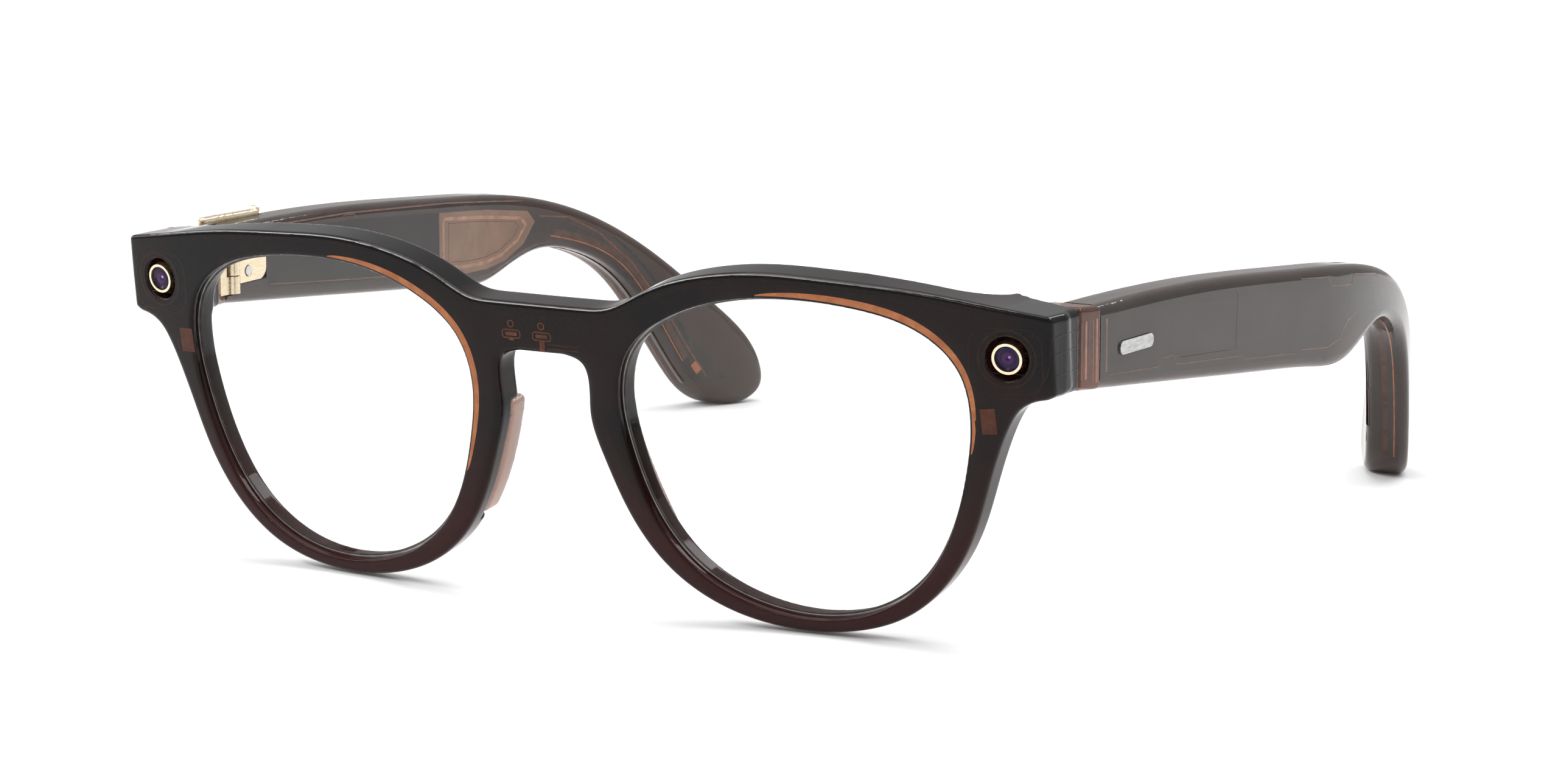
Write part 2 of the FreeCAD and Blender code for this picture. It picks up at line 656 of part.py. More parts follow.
def band_prism(side, half):
    """The temple's plan: straight, then curving inward, as thick as twice half."""
    bend, radius, sweep = size("bend_start"), size("bend_radius"), math.radians(36)
    centre = Vector(-side * radius, bend, -40)
    walls, ends = [], []
    for edge in (half, -half):
        reach = radius + edge
        start = Vector(side * edge, 0, -40)
        corner = Vector(side * edge, bend, -40)
        middle = centre + Vector(side * reach * math.cos(sweep / 2), reach * math.sin(sweep / 2), 0)
        end = centre + Vector(side * reach * math.cos(sweep), reach * math.sin(sweep), 0)
        walls += [Part.LineSegment(start, corner).toShape(), Part.Arc(corner, middle, end).toShape()]
        ends.append((start, end))
    walls.append(Part.LineSegment(ends[0][0], ends[1][0]).toShape())
    walls.append(Part.LineSegment(ends[0][1], ends[1][1]).toShape())
    return prism(walls, Vector(0, 0, 80))


def temple_blank(side):
    """The outside of a whole temple with its ear bend and tip."""
    points = [Vector(-30, y, z) for y, z in TEMPLE]
    edges = spans(spline(points), points) + [Part.LineSegment(points[-1], points[0]).toShape()]
    solid = prism(edges, Vector(60, 0, 0)).common(band_prism(side, size("temple_half"))).Solids[0]
    long_edges = [edge for edge in solid.Edges if is_long(edge)]
    return solid.makeFillet(size("temple_fillet"), long_edges).Solids[0]


def is_long(edge):
    """True for an edge that runs along the temple, not across it or straight up."""
    run = edge.Vertexes[-1].Point - edge.Vertexes[0].Point
    across = abs(run.x) > 0.9 * run.Length and edge.Length < 8
    straight_up = abs(run.x) < 1e-6 and abs(run.y) < 1e-6
    return not across and not straight_up


COVER = [(10.4, 18.3), (32.0, 17.6), (57.9, 15.5), (57.9, 5.7), (32.0, 8.3), (10.4, 10.5)]
WINDOW = [(58.1, 15.4), (72.0, 14.2), (83.0, 12.7), (84.8, 10.8), (82.0, 7.6), (77.0, 5.5),
          (72.0, 4.8), (66.0, 4.9), (58.1, 5.7)]
CAVITY = [(11.3, 17.4), (32.0, 16.7), (58.0, 14.6), (72.0, 13.3), (82.0, 11.9), (83.4, 10.6),
          (80.6, 8.2), (76.5, 6.4), (72.0, 5.7), (66.0, 5.8), (58.0, 6.6), (32.0, 9.2), (11.3, 11.4)]
CORE = [(85.2, 10.9), (92.0, 10.6), (101.0, 6.9), (109.0, 1.2), (116.5, -7.0), (123.5, -16.5),
        (126.5, -20.0), (123.0, -20.3), (117.5, -14.0), (111.5, -4.6), (105.0, 3.0), (97.0, 7.2),
        (85.2, 8.9)]


def cover_zone(side, points, gap=0.0):
    half = size("temple_half")
    return side_prism(side, points, -12.0, -half + size("cover_thickness") + gap)


def hinge_room(side):
    """What the temple shell leaves free for its hinge."""
    x, y = hinge_axis(side)
    low, span = size("hinge_low"), size("hinge_span")
    room = upright(x, y, low - 0.3, span + 0.6, size("knuckle_dia") / 2 + 0.3)
    half = size("temple_half")
    inner, deep = -half - 1, -half + size("leaf_thickness") - 0.1
    end = size("hinge_plate_end") + size("cover_gap")
    plate = side_prism(side, [(y, 11.95), (end, 11.95), (end, 18.75), (y, 18.75)], inner, deep)
    bottom, top = low - 0.3, low + span + 0.3
    arms = side_prism(side, [(-1, bottom), (y, bottom), (y, top), (-1, top)], inner, -half + 1.4)
    return [room, plate, arms]


def vent(side):
    """The sound slot in the top of the temple, over the speaker chamber."""
    return Part.makeBox(1.0, 7.0, 6.0, Vector(-side * 0.6 - 0.5, 75.0, 12.2))


def inlay_shape(side, play=0.0):
    """A plain rounded bar set into the outer face."""
    length, height, half = size("inlay_length"), size("inlay_height"), size("temple_half")
    deep, proud = half - 0.4, half + size("inlay_proud")
    start = deep if side > 0 else -proud
    box = Part.makeBox(proud - deep, length + 2 * play, height + 2 * play,
                       Vector(start, 5.0 - play, 13.3 - play))
    corners = [e for e in box.Edges if abs(e.Length - proud + deep) < 1e-6]
    return box.makeFillet(height / 2 - 0.05, corners)


def button_pocket():
    """The slot in the top of the right temple for the capture button."""
    play = 0.12
    length, width = size("button_length") + 2 * play, size("button_width") + 2 * play
    corner = Vector(-size("button_x") - width / 2, size("button_start") - play, size("button_floor"))
    return Part.makeBox(width, length, 6, corner)


def make_temple_shell(side, blank):
    cuts = [side_prism(side, CAVITY, -size("temple_half") + size("cover_thickness"),
                       size("temple_half") - size("temple_wall"))]
    cuts += [cover_zone(side, COVER, 0.02), cover_zone(side, WINDOW, 0.02)]
    cuts += hinge_room(side) + screws(side, 0.03)
    cuts += [vent(side), inlay_shape(side, 0.03), core_shape(side, True)]
    if side < 0:
        cuts.append(button_pocket())
    shape_piece("temple_shell_" + NAME[side], blank.cut(cuts).Solids[0], temple_frame(side))


def core_shape(side, open_end=False):
    points = CORE + [(81.0, 8.9), (81.0, 10.9)] if open_end else CORE
    return side_prism(side, points, -30, 30).common(band_prism(side, size("core_half")))


def make_covers(side, blank):
    cover = blank.common(cover_zone(side, COVER))
    if side > 0:
        half = size("temple_half")
        y, z = size("switch_y"), size("switch_z")
        reach = size("switch_length") / 2 + 0.1
        tall = size("switch_width") / 2 + 0.1
        slot = [(y - reach, z - tall), (y + reach + size("switch_travel"), z - tall),
                (y + reach + size("switch_travel"), z + tall), (y - reach, z + tall)]
        cover = cover.cut(side_prism(side, slot, -half - 1, half))
    shape_piece("inner_cover_" + NAME[side], cover.Solids[0], temple_frame(side))
    window = blank.common(cover_zone(side, WINDOW))
    shape_piece("chamber_window_" + NAME[side], window.Solids[0], temple_frame(side))


def inside(side, low, y, z, lean=0.0):
    """A place in the temple's hollow for a plate whose length runs back along the temple."""
    x = low if side > 0 else -low
    turn = Rotation(Vector(1, 0, 0), -lean)
    return temple_frame(side) * Placement(Vector(x, y, z), turn)


def hollow_plate(label, side, length, height, depth, low, y, z, lean=4.7, rounded=0.3):
    """A plate in the temple whose inner face lies at low, counted outward from the temple's middle."""
    start = low if side > 0 else low + size(depth)
    return block(label, "YZ_Plane", "Sizes." + length, "Sizes." + height, "Sizes." + depth,
                 inside(side, start, y, z, lean), rounded)


def make_temple_parts(side):
    name = NAME[side]
    hollow_plate("speaker_" + name, side, "speaker_length", "speaker_height", "speaker_depth",
                 -1.6, 67.5, 9.9, 4.0)
    hollow_plate("vent_mesh_" + name, side, "mesh_length", "mesh_height", "mesh_width",
                 -1.05, 78.5, 14.2, 6.0, 0.1)
    hollow_plate("temple_microphone_" + name, side, "mic_width", "mic_height", "mic_depth",
                 -1.9, 79.2, 9.6, 0.0)
    shape_piece("tip_core_" + name, core_shape(side), temple_frame(side))
    shape_piece("inlay_" + name, inlay_shape(side), temple_frame(side))


def make_left_electronics():
    hollow_plate("battery", 1, "battery_length", "battery_height", "cell_depth",
                 -1.95, 37.5, 12.3, rounded=0.6)
    hollow_plate("charging_board", 1, "battery_length", "battery_height", "board_thickness",
                 0.8, 37.5, 12.3)
    hollow_plate("antenna", 1, "antenna_length", "antenna_height", "film_thickness", 1.6, 37.5, 12.3)
    hollow_plate("power_switch_housing", 1, "housing_length", "housing_height", "housing_depth",
                 -1.95, size("switch_y") + size("switch_travel") / 2, size("switch_z"), 0.0)
    hollow_plate("power_switch", 1, "switch_length", "switch_width", "knob_depth",
                 -size("temple_half") - 0.45, size("switch_y"), size("switch_z"), 0.0, 0.8)


def make_right_electronics():
    hollow_plate("main_board", -1, "board_length", "board_height", "board_thickness", 0.5, 35.5, 12.45)
    hollow_plate("processor_shield", -1, "shield_length", "shield_height", "shield_depth",
                 -0.85, 30.0, 12.9)
    hollow_plate("power_coil", -1, "coil_length", "shield_height", "shield_depth", -0.85, 46.5, 11.5)
    hollow_plate("touch_film", -1, "board_length", "board_height", "film_thickness", 1.6, 35.5, 12.45)


def make_capture_button():
    """The long gold button on top of the right temple, and the dome switch under it."""
    middle = size("button_start") + size("button_length") / 2
    floor = Vector(-size("button_x"), middle, size("button_floor"))
    lift = Vector(0, 0, size("button_travel") + 0.35)
    place = temple_frame(-1) * Placement(floor + lift, Rotation(Vector(1, 0, 0), -size("button_lean")))
    bar = block("button_bar", "XY_Plane", "Sizes.button_width", "Sizes.button_length",
                "Sizes.button_height", place, 0.7)
    PIECES.remove(bar)
    ridge = doc.addObject("Part::Cylinder", "button_ridge")
    ridge.setExpression("Radius", "Sizes.ridge_radius")
    ridge.setExpression("Height", "Sizes.button_width")
    end = size("button_length") / 2 - size("ridge_radius")
    across = Vector(-size("button_width") / 2, end, size("button_height"))
    ridge.Placement = place * Placement(across, Rotation(Vector(0, 1, 0), 90))
    button = doc.addObject("Part::MultiFuse", "capture_button")
    button.Shapes = [bar, ridge]
    keep(button, "capture_button")
    disc("button_dome", "Sizes.dome_dia", "Sizes.dome_height",
         temple_frame(-1) * Placement(floor, Rotation()))


def build_all():
    blank = front_blank()
    make_front_shell(blank)
    make_rear_shell(blank)
    make_bridge_parts()
    make_eye(1, ("camera_ring", "camera_glass", "camera_barrel", "camera_module"))
    make_eye(-1, ("light_ring", "light_glass", "light_pipe", "light_module"))
    for side in (1, -1):
        make_lens(side)
        make_nose_pad(side)
        make_end_block(side)
        make_front_hinge(side)
        make_hinge_pin(side)
        make_temple_hinge(side)
        make_screws(side)
        blank = temple_blank(side)
        make_temple_shell(side, blank)
        make_covers(side, blank)
        make_temple_parts(side)
    make_left_electronics()
    make_right_electronics()
    make_capture_button()


def check_and_write():
    doc.recompute()
    for obj in doc.Objects:
        if "Invalid" in obj.State or "Error" in obj.State:
            raise RuntimeError("%s did not build: %s" % (obj.Label, obj.State))
    os.makedirs("parts", exist_ok=True)
    for obj in PIECES:
        shape = obj.Shape
        if shape.isNull() or not shape.isValid() or not shape.Solids:
            raise RuntimeError("%s has no valid solid" % obj.Label)
        shape.exportStep("parts/%s.step" % obj.Label)
        box = shape.BoundBox
        print("%-26s %d solids %9.1f mm3  x %.1f..%.1f y %.1f..%.1f z %.1f..%.1f" % (
            obj.Label, len(shape.Solids), shape.Volume, box.XMin, box.XMax, box.YMin, box.YMax,
            box.ZMin, box.ZMax))


if __name__ == "__main__":
    build_all()
    check_and_write()
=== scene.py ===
import json
import math
import bpy
import numpy as np
import openvdb as vdb
from mathutils import Matrix, Vector
from mathutils.bvhtree import BVHTree


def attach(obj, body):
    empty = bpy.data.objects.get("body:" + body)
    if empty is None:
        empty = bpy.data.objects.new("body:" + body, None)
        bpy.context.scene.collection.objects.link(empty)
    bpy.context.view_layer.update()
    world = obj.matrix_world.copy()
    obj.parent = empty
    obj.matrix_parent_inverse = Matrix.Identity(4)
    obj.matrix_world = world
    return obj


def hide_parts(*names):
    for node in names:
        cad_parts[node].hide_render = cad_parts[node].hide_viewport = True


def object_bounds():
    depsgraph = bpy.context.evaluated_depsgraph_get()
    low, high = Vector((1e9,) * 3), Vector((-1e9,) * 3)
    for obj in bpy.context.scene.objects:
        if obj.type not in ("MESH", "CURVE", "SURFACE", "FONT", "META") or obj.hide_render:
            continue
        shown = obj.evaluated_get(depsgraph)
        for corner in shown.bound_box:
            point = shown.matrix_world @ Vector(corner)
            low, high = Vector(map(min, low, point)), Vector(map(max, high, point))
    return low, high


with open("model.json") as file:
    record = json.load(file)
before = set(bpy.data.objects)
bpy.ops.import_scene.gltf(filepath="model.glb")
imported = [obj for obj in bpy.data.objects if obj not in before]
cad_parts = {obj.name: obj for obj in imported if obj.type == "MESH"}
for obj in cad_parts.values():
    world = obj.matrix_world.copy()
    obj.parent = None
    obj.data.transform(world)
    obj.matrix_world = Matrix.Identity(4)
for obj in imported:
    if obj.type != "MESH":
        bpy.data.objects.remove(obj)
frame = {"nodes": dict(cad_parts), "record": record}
cad_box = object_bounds()
MM = 0.001

# ---------------------------------------------------------------- places

FRONT_Y, EYE_HEIGHT = -74.6, 24.35
TILT = math.radians(8.68)
COS, SIN = math.cos(TILT), math.sin(TILT)
DOME = 385.0
EYE_X, EYE_Z, EYE_SPLAY = 66.6, 14.45, math.radians(7.5)
# the rear dome's radius is smaller than the front's by the rim's depth, and its centre is lower
RIM_DEPTH, REAR_DROP = 4.7, 8.0
# an end piece: outer face and its draft, inner face, underside, back
HALF_FRONT, DRAFT, DRAFT_END = 72.45, 0.22, 8.5
BLOCK_INNER, BLOCK_LOW, BLOCK_BACK = 62.9, 10.2, 12.6
# the hole for the camera or the light: radius, slope of its flare at the face, depth
EYE_HOLE, EYE_FLARE, EYE_DEPTH = 2.6, 0.3, 3.9
# where a nose pad's seat starts behind the face, and the gap round the pad
PAD_SEAT, PAD_GAP = 2.8, 0.16
# a lens opening's middle; a temple's half thickness and the start and radius of its bend
LENS_MIDDLE = 36.5
TEMPLE_HALF, BEND_START, BEND_RADIUS = 3.25, 66.0, 125.0


def front_matrix():
    """From the front's own frame in millimetres to the row's frame in metres."""
    place = Matrix.Translation(Vector((0, FRONT_Y, EYE_HEIGHT)) * MM)
    return place @ Matrix.Rotation(TILT, 4, "X") @ Matrix.Scale(MM, 4)


def temple_matrix(side):
    """From a temple's own frame in millimetres to the row's frame in metres."""
    place = Matrix.Translation(Vector((side * 69.3, FRONT_Y + 18.65, EYE_HEIGHT)) * MM)
    return place @ Matrix.Rotation(-side * math.radians(2.8), 4, "Z") @ Matrix.Scale(MM, 4)


def eye_centre(side):
    """The middle of the glass's face in the camera or the light, in the row's millimetres."""
    mesh = frame["nodes"]["camera_glass" if side > 0 else "light_glass"].data
    middle = sum((v.co for v in mesh.vertices), Vector()) / len(mesh.vertices) / MM
    return middle + Vector((side * 0.13, -0.98, -0.15)) * 0.35


# ---------------------------------------------------------------- outlines, as in the CAD

OPENING = [
    (61.2, 6.5), (59.8, 12.7), (55.2, 17.2), (46.0, 20.1), (37.0, 20.9), (28.0, 20.2),
    (19.5, 17.3), (13.3, 12.2), (11.5, 6.0), (12.5, -1.5), (15.1, -9.3), (20.5, -16.8),
    (28.5, -21.3), (37.5, -22.8), (46.0, -21.3), (53.0, -16.7), (57.8, -9.0), (60.3, -0.8),
]
LOWER_EDGE = [
    (70.2, 8.9), (67.8, 7.6), (66.2, 5.4), (64.6, 1.8), (63.1, -2.4), (60.7, -9.3),
    (56.6, -16.4), (50.0, -22.0), (41.0, -24.6), (31.5, -24.4), (22.9, -21.8), (16.3, -17.1),
    (11.8, -10.8), (8.4, -2.6), (6.9, 3.2), (7.0, 7.4), (6.3, 10.0), (3.4, 11.1),
]
UPPER_EDGE = [
    (0.0, 17.8), (7.0, 17.8), (10.8, 18.1), (14.2, 19.6), (18.2, 21.5), (24.5, 23.3),
    (33.0, 24.2), (43.0, 23.8), (55.0, 22.8), (66.0, 21.1), (75.0, 19.6),
]
PAD = [(6.9, 3.0), (8.4, -2.6), (11.8, -10.8), (14.2, -14.6), (15.4, -13.0), (13.9, -9.5),
       (11.5, -2.6), (10.2, 3.0)]


def smooth_line(points, closed=False, steps=10):
    """Points along a cubic curve with even curvature through the given points."""
    p = np.array(points, float)
    if closed:
        p = np.vstack([p, p[:1]])
    t = np.concatenate([[0], np.cumsum(np.linalg.norm(np.diff(p, axis=0), axis=1))])
    n, h = len(p), np.diff(t)
    a, b = np.zeros((n, n)), np.zeros((n, p.shape[1]))
    for i in range(1, n - 1):
        a[i, i - 1], a[i, i], a[i, i + 1] = h[i - 1], 2 * (h[i - 1] + h[i]), h[i]
        b[i] = 6 * ((p[i + 1] - p[i]) / h[i] - (p[i] - p[i - 1]) / h[i - 1])
    if closed:
        a[0, 0], a[0, 1], a[0, n - 2] = 2 * (h[0] + h[-1]), h[0], h[-1]
        b[0] = 6 * ((p[1] - p[0]) / h[0] - (p[0] - p[n - 2]) / h[-1])
        a[n - 1, 0], a[n - 1, n - 1] = 1, -1
    else:
        a[0, 0] = a[n - 1, n - 1] = 1
    m = np.linalg.solve(a, b)
    out = []
    for i in range(n - 1):
        for s in np.arange(steps) / steps:
            u, v = s * h[i], (1 - s) * h[i]
            out.append((m[i] * v ** 3 + m[i + 1] * u ** 3) / (6 * h[i])
                       + (p[i] / h[i] - m[i] * h[i] / 6) * v + (p[i + 1] / h[i] - m[i + 1] * h[i] / 6) * u)
    if not closed:
        out.append(p[-1])
    return np.array(out)


def outside(loop, x, z):
    """Signed distance of the points (x, z) from a closed loop, negative inside it."""
    best, inside = np.full(x.shape, 1e9), np.zeros(x.shape, bool)
    for (ax, az), (bx, bz) in zip(loop, np.roll(loop, -1, axis=0)):
        ex, ez = bx - ax, bz - az
        length = ex * ex + ez * ez
        if length < 1e-12:
            continue
        s = np.clip(((x - ax) * ex + (z - az) * ez) / length, 0, 1)
        best = np.minimum(best, (x - ax - s * ex) ** 2 + (z - az - s * ez) ** 2)
        if az != bz:
            inside ^= ((az > z) != (bz > z)) & (x < ax + (z - az) * ex / ez)
    return np.where(inside, -1, 1) * np.sqrt(best)


def both(a, b, r):
    """The common part of two shapes, its edge rounded to radius r."""
    return np.minimum(-r, np.maximum(a, b)) + np.hypot(np.maximum(a + r, 0), np.maximum(b + r, 0))


def either(a, b, r):
    """Two shapes joined, the corner between them rounded to radius r."""
    return -both(-a, -b, r)


# ---------------------------------------------------------------- meshes

def new_object(name, verts, faces, body, mat=None, matrix=None, smooth=True):
    mesh = bpy.data.meshes.new(name)
    mesh.from_pydata([tuple(v) for v in verts], [], [tuple(f) for f in faces])
    if matrix is not None:
        mesh.transform(matrix)
    mesh.update()
    obj = bpy.data.objects.new(name, mesh)
    bpy.context.scene.collection.objects.link(obj)
    mesh.polygons.foreach_set("use_smooth", [smooth] * len(mesh.polygons))
    if mat:
        mesh.materials.append(mat)
    if body:
        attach(obj, body)
    return obj


def field_object(name, field, origin, step, body, mat, matrix):
    """A smooth closed mesh where a sampled distance field is zero."""
    grid = vdb.FloatGrid(background=2.0)
    grid.copyFromArray(np.clip(field, -2.0, 2.0).astype(np.float32))
    grid.transform = vdb.createLinearTransform(voxelSize=step)
    points, quads = grid.convertToQuads(isovalue=0.0)
    slope = np.stack(np.gradient(field, step), axis=-1)
    normals = sampled(slope, points / step)
    points = points + np.array(origin)
    obj = new_object(name, points, outward(points, quads), body, mat, matrix)
    turn = np.array(matrix.to_3x3())
    normals = normals @ turn.T
    normals /= np.linalg.norm(normals, axis=1, keepdims=True)
    obj.data.normals_split_custom_set_from_vertices(normals.tolist())
    return obj


def sampled(values, index):
    """Values of a grid at points between its nodes."""
    low = np.clip(np.floor(index).astype(int), 0, np.array(values.shape[:3]) - 2)
    part = (index - low)[:, :, None]
    total = 0
    for dx in (0, 1):
        for dy in (0, 1):
            for dz in (0, 1):
                weight = np.ones((len(index), 1))
                for axis, step in enumerate((dx, dy, dz)):
                    weight = weight * (part[:, axis] if step else 1 - part[:, axis])
                total = total + weight * values[low[:, 0] + dx, low[:, 1] + dy, low[:, 2] + dz]
    return total


def outward(points, faces):
    """The faces, turned round if their normals look inward."""
    a, b, c = (points[faces[:, i]] for i in range(3))
    d = points[faces[:, -1]]
    volume = np.einsum("ij,ij->i", a, np.cross(b, c)).sum() + np.einsum("ij,ij->i", a, np.cross(c, d)).sum()
    return faces if volume > 0 else faces[:, ::-1]


def softened(name, node, r, step, mat):
    """A copy of a CAD piece with its outer edges rounded to about r millimetres."""
    source = frame["nodes"][node].data
    verts = np.array([v.co for v in source.vertices]) / MM
    source.calc_loop_triangles()
    tris = np.array([t.vertices for t in source.loop_triangles])
    transform = vdb.createLinearTransform(voxelSize=step)
    band = r / step + 3
    grid = vdb.FloatGrid.createLevelSetFromPolygons(verts, triangles=tris, transform=transform,
                                                    halfWidth=band)
    points, quads = grid.convertToQuads(isovalue=-r)
    grid = vdb.FloatGrid.createLevelSetFromPolygons(points, quads=quads, transform=transform, halfWidth=band)
    points, quads = grid.convertToQuads(isovalue=r * 0.98)
    obj = new_object(name, points, outward(points, quads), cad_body[node], mat, Matrix.Scale(MM, 4))
    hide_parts(node)
    return obj


record = frame["record"]
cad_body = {node: body for body, nodes in record["behaviour"]["bodies"].items() for node in nodes}


# ---------------------------------------------------------------- materials

def shader(name, color, roughness=0.3, metallic=0.0, alpha=1.0, **more):
    mat = bpy.data.materials.new(name)
    mat.use_nodes = True
    bsdf = mat.node_tree.nodes["Principled BSDF"]
    bsdf.inputs["Base Color"].default_value = (*color, 1)
    bsdf.inputs["Roughness"].default_value = roughness
    bsdf.inputs["Metallic"].default_value = metallic
    bsdf.inputs["Alpha"].default_value = alpha
    for key, value in more.items():
        bsdf.inputs[key.replace("_", " ")].default_value = value
    return mat, bsdf


def node(mat, kind, **settings):
    made = mat.node_tree.nodes.new(kind)
    for key, value in settings.items():
        if key in made.inputs:
            made.inputs[key].default_value = value
        else:
            setattr(made, key, value)
    return made


def link(mat, a, b):
    mat.node_tree.links.new(a, b)


def coordinates(mat):
    """The object's own coordinates in millimetres."""
    where = node(mat, "ShaderNodeTexCoord")
    scale = node(mat, "ShaderNodeVectorMath", operation="SCALE")
    scale.inputs["Scale"].default_value = 1000
    link(mat, where.outputs["Object"], scale.inputs[0])
    return scale.outputs[0]


def mottled(mat, bsdf, low, high, scale, detail=3.0, stretch=(1, 1, 1)):
    """Colour that drifts between two tones."""
    mapping = node(mat, "ShaderNodeMapping")
    mapping.inputs["Scale"].default_value = stretch
    link(mat, coordinates(mat), mapping.inputs["Vector"])
    noise = node(mat, "ShaderNodeTexNoise", Scale=scale, Detail=detail, Roughness=0.55)
    link(mat, mapping.outputs[0], noise.inputs["Vector"])
    ramp = node(mat, "ShaderNodeValToRGB")
    ramp.color_ramp.elements[0].position = 0.35
    ramp.color_ramp.elements[1].position = 0.68
    ramp.color_ramp.elements[0].color = (*low, 1)
    ramp.color_ramp.elements[1].color = (*high, 1)
    link(mat, noise.outputs["Fac"], ramp.inputs["Fac"])
    link(mat, ramp.outputs["Color"], bsdf.inputs["Base Color"])
    return noise


def rough_from(mat, bsdf, noise, low, high):
    span = node(mat, "ShaderNodeMapRange")
    span.inputs["To Min"].default_value = low
    span.inputs["To Max"].default_value = high
    link(mat, noise.outputs["Fac"], span.inputs["Value"])
    link(mat, span.outputs["Result"], bsdf.inputs["Roughness"])


def bumped(mat, bsdf, scale, strength, distance=0.00002, stretch=(1, 1, 1)):
    mapping = node(mat, "ShaderNodeMapping")
    mapping.inputs["Scale"].default_value = stretch
    link(mat, coordinates(mat), mapping.inputs["Vector"])
    noise = node(mat, "ShaderNodeTexNoise", Scale=scale, Detail=4.0)
    link(mat, mapping.outputs[0], noise.inputs["Vector"])
    bump = node(mat, "ShaderNodeBump", Strength=strength, Distance=distance)
    link(mat, noise.outputs["Fac"], bump.inputs["Height"])
    link(mat, bump.outputs["Normal"], bsdf.inputs["Normal"])


def tinted(name, low, high, alpha, absorb, density, roughness=(0.03, 0.09), specular=0.5, falls=None):
    """Polished translucent plastic: a see-through skin round a volume that takes light away.

    With falls, the colour goes over to a second pair of tones towards the bottom of the front.
    """
    mat, bsdf = shader(name, low, 0.05, alpha=alpha, IOR=1.5, Specular_IOR_Level=specular)
    noise = mottled(mat, bsdf, low, high, 0.12)
    rough_from(mat, bsdf, noise, *roughness)
    if falls:
        split = node(mat, "ShaderNodeSeparateXYZ")
        link(mat, coordinates(mat), split.inputs[0])
        height = node(mat, "ShaderNodeMapRange")
        for key, value in (("From Min", 28.0), ("From Max", 8.0), ("To Min", 0.0), ("To Max", 1.0)):
            height.inputs[key].default_value = value
        height.interpolation_type = "SMOOTHSTEP"
        link(mat, split.outputs["Z"], height.inputs["Value"])
        blend = node(mat, "ShaderNodeMix", data_type="RGBA")
        ramp = [n for n in mat.node_tree.nodes if n.type == "VALTORGB"][0]
        link(mat, height.outputs["Result"], blend.inputs[0])
        link(mat, ramp.outputs["Color"], blend.inputs[6])
        blend.inputs[7].default_value = (*falls, 1)
        link(mat, blend.outputs[2], bsdf.inputs["Base Color"])
    inner = node(mat, "ShaderNodeVolumeAbsorption")
    inner.inputs["Color"].default_value = (*absorb, 1)
    inner.inputs["Density"].default_value = density
    out = [n for n in mat.node_tree.nodes if n.type == "OUTPUT_MATERIAL"][0]
    link(mat, inner.outputs[0], out.inputs["Volume"])
    return mat


def brushed(name, low, high, roughness, stretch):
    mat, bsdf = shader(name, low, roughness, metallic=1.0)
    noise = mottled(mat, bsdf, low, high, 3.0, stretch=stretch)
    rough_from(mat, bsdf, noise, roughness * 0.7, roughness * 1.4)
    bumped(mat, bsdf, 9.0, 0.25, 0.000008, stretch)
    return mat


def plain(name, low, high, roughness, scale=1.0, bump=0.2, **more):
    mat, bsdf = shader(name, low, roughness, **more)
    noise = mottled(mat, bsdf, low, high, scale)
    rough_from(mat, bsdf, noise, roughness * 0.8, min(1.0, roughness * 1.25))
    bumped(mat, bsdf, 6.0, bump)
    return mat


MAT = {
    "frame": tinted("frame_dark", (0.0026, 0.0022, 0.0022), (0.0042, 0.0031, 0.0029), 0.91,
                    (0.75, 0.25, 0.15), 500, (0.02, 0.06), 0.17, (0.019, 0.0036, 0.0032)),
    "block": tinted("block_red", (0.085, 0.028, 0.014), (0.19, 0.065, 0.034), 0.62, (0.85, 0.45, 0.28), 300),
    "pad": tinted("pad_brown", (0.19, 0.095, 0.066), (0.28, 0.15, 0.11), 0.6, (0.85, 0.58, 0.45), 300),
    "temple": tinted("temple_brown", (0.026, 0.019, 0.016), (0.038, 0.029, 0.025), 0.82,
                     (0.70, 0.42, 0.30), 500, specular=0.42),
    "cover": tinted("cover_dark", (0.022, 0.018, 0.017), (0.032, 0.027, 0.025), 0.88, (0.6, 0.4, 0.3), 500,
                    (0.18, 0.28), 0.3),
    "window": tinted("window_brown", (0.16, 0.085, 0.05), (0.24, 0.13, 0.08), 0.8, (0.8, 0.6, 0.45), 300),
    "core": plain("core_brown", (0.16, 0.075, 0.04), (0.24, 0.12, 0.07), 0.45),
    "gold": brushed("champagne_gold", (0.66, 0.55, 0.38), (0.80, 0.69, 0.50), 0.26, (1, 0.15, 1)),
    "silver": brushed("inlay_silver", (0.34, 0.34, 0.33), (0.52, 0.52, 0.51), 0.3, (1, 0.2, 1)),
    "steel": brushed("steel", (0.50, 0.50, 0.50), (0.62, 0.62, 0.62), 0.3, (1, 0.3, 1)),
    "copper": brushed("copper", (0.75, 0.36, 0.20), (0.88, 0.50, 0.30), 0.3, (1, 1, 0.3)),
    "flex": plain("flex", (0.36, 0.15, 0.04), (0.52, 0.26, 0.08), 0.4),
    "board": plain("board_green", (0.012, 0.06, 0.035), (0.03, 0.10, 0.06), 0.45),
    "foil": plain("battery_foil", (0.36, 0.37, 0.38), (0.50, 0.51, 0.52), 0.35),
    "black": plain("black_plastic", (0.010, 0.010, 0.010), (0.024, 0.024, 0.024), 0.5),
    "white": plain("white_guide", (0.62, 0.62, 0.58), (0.78, 0.78, 0.74), 0.4),
}


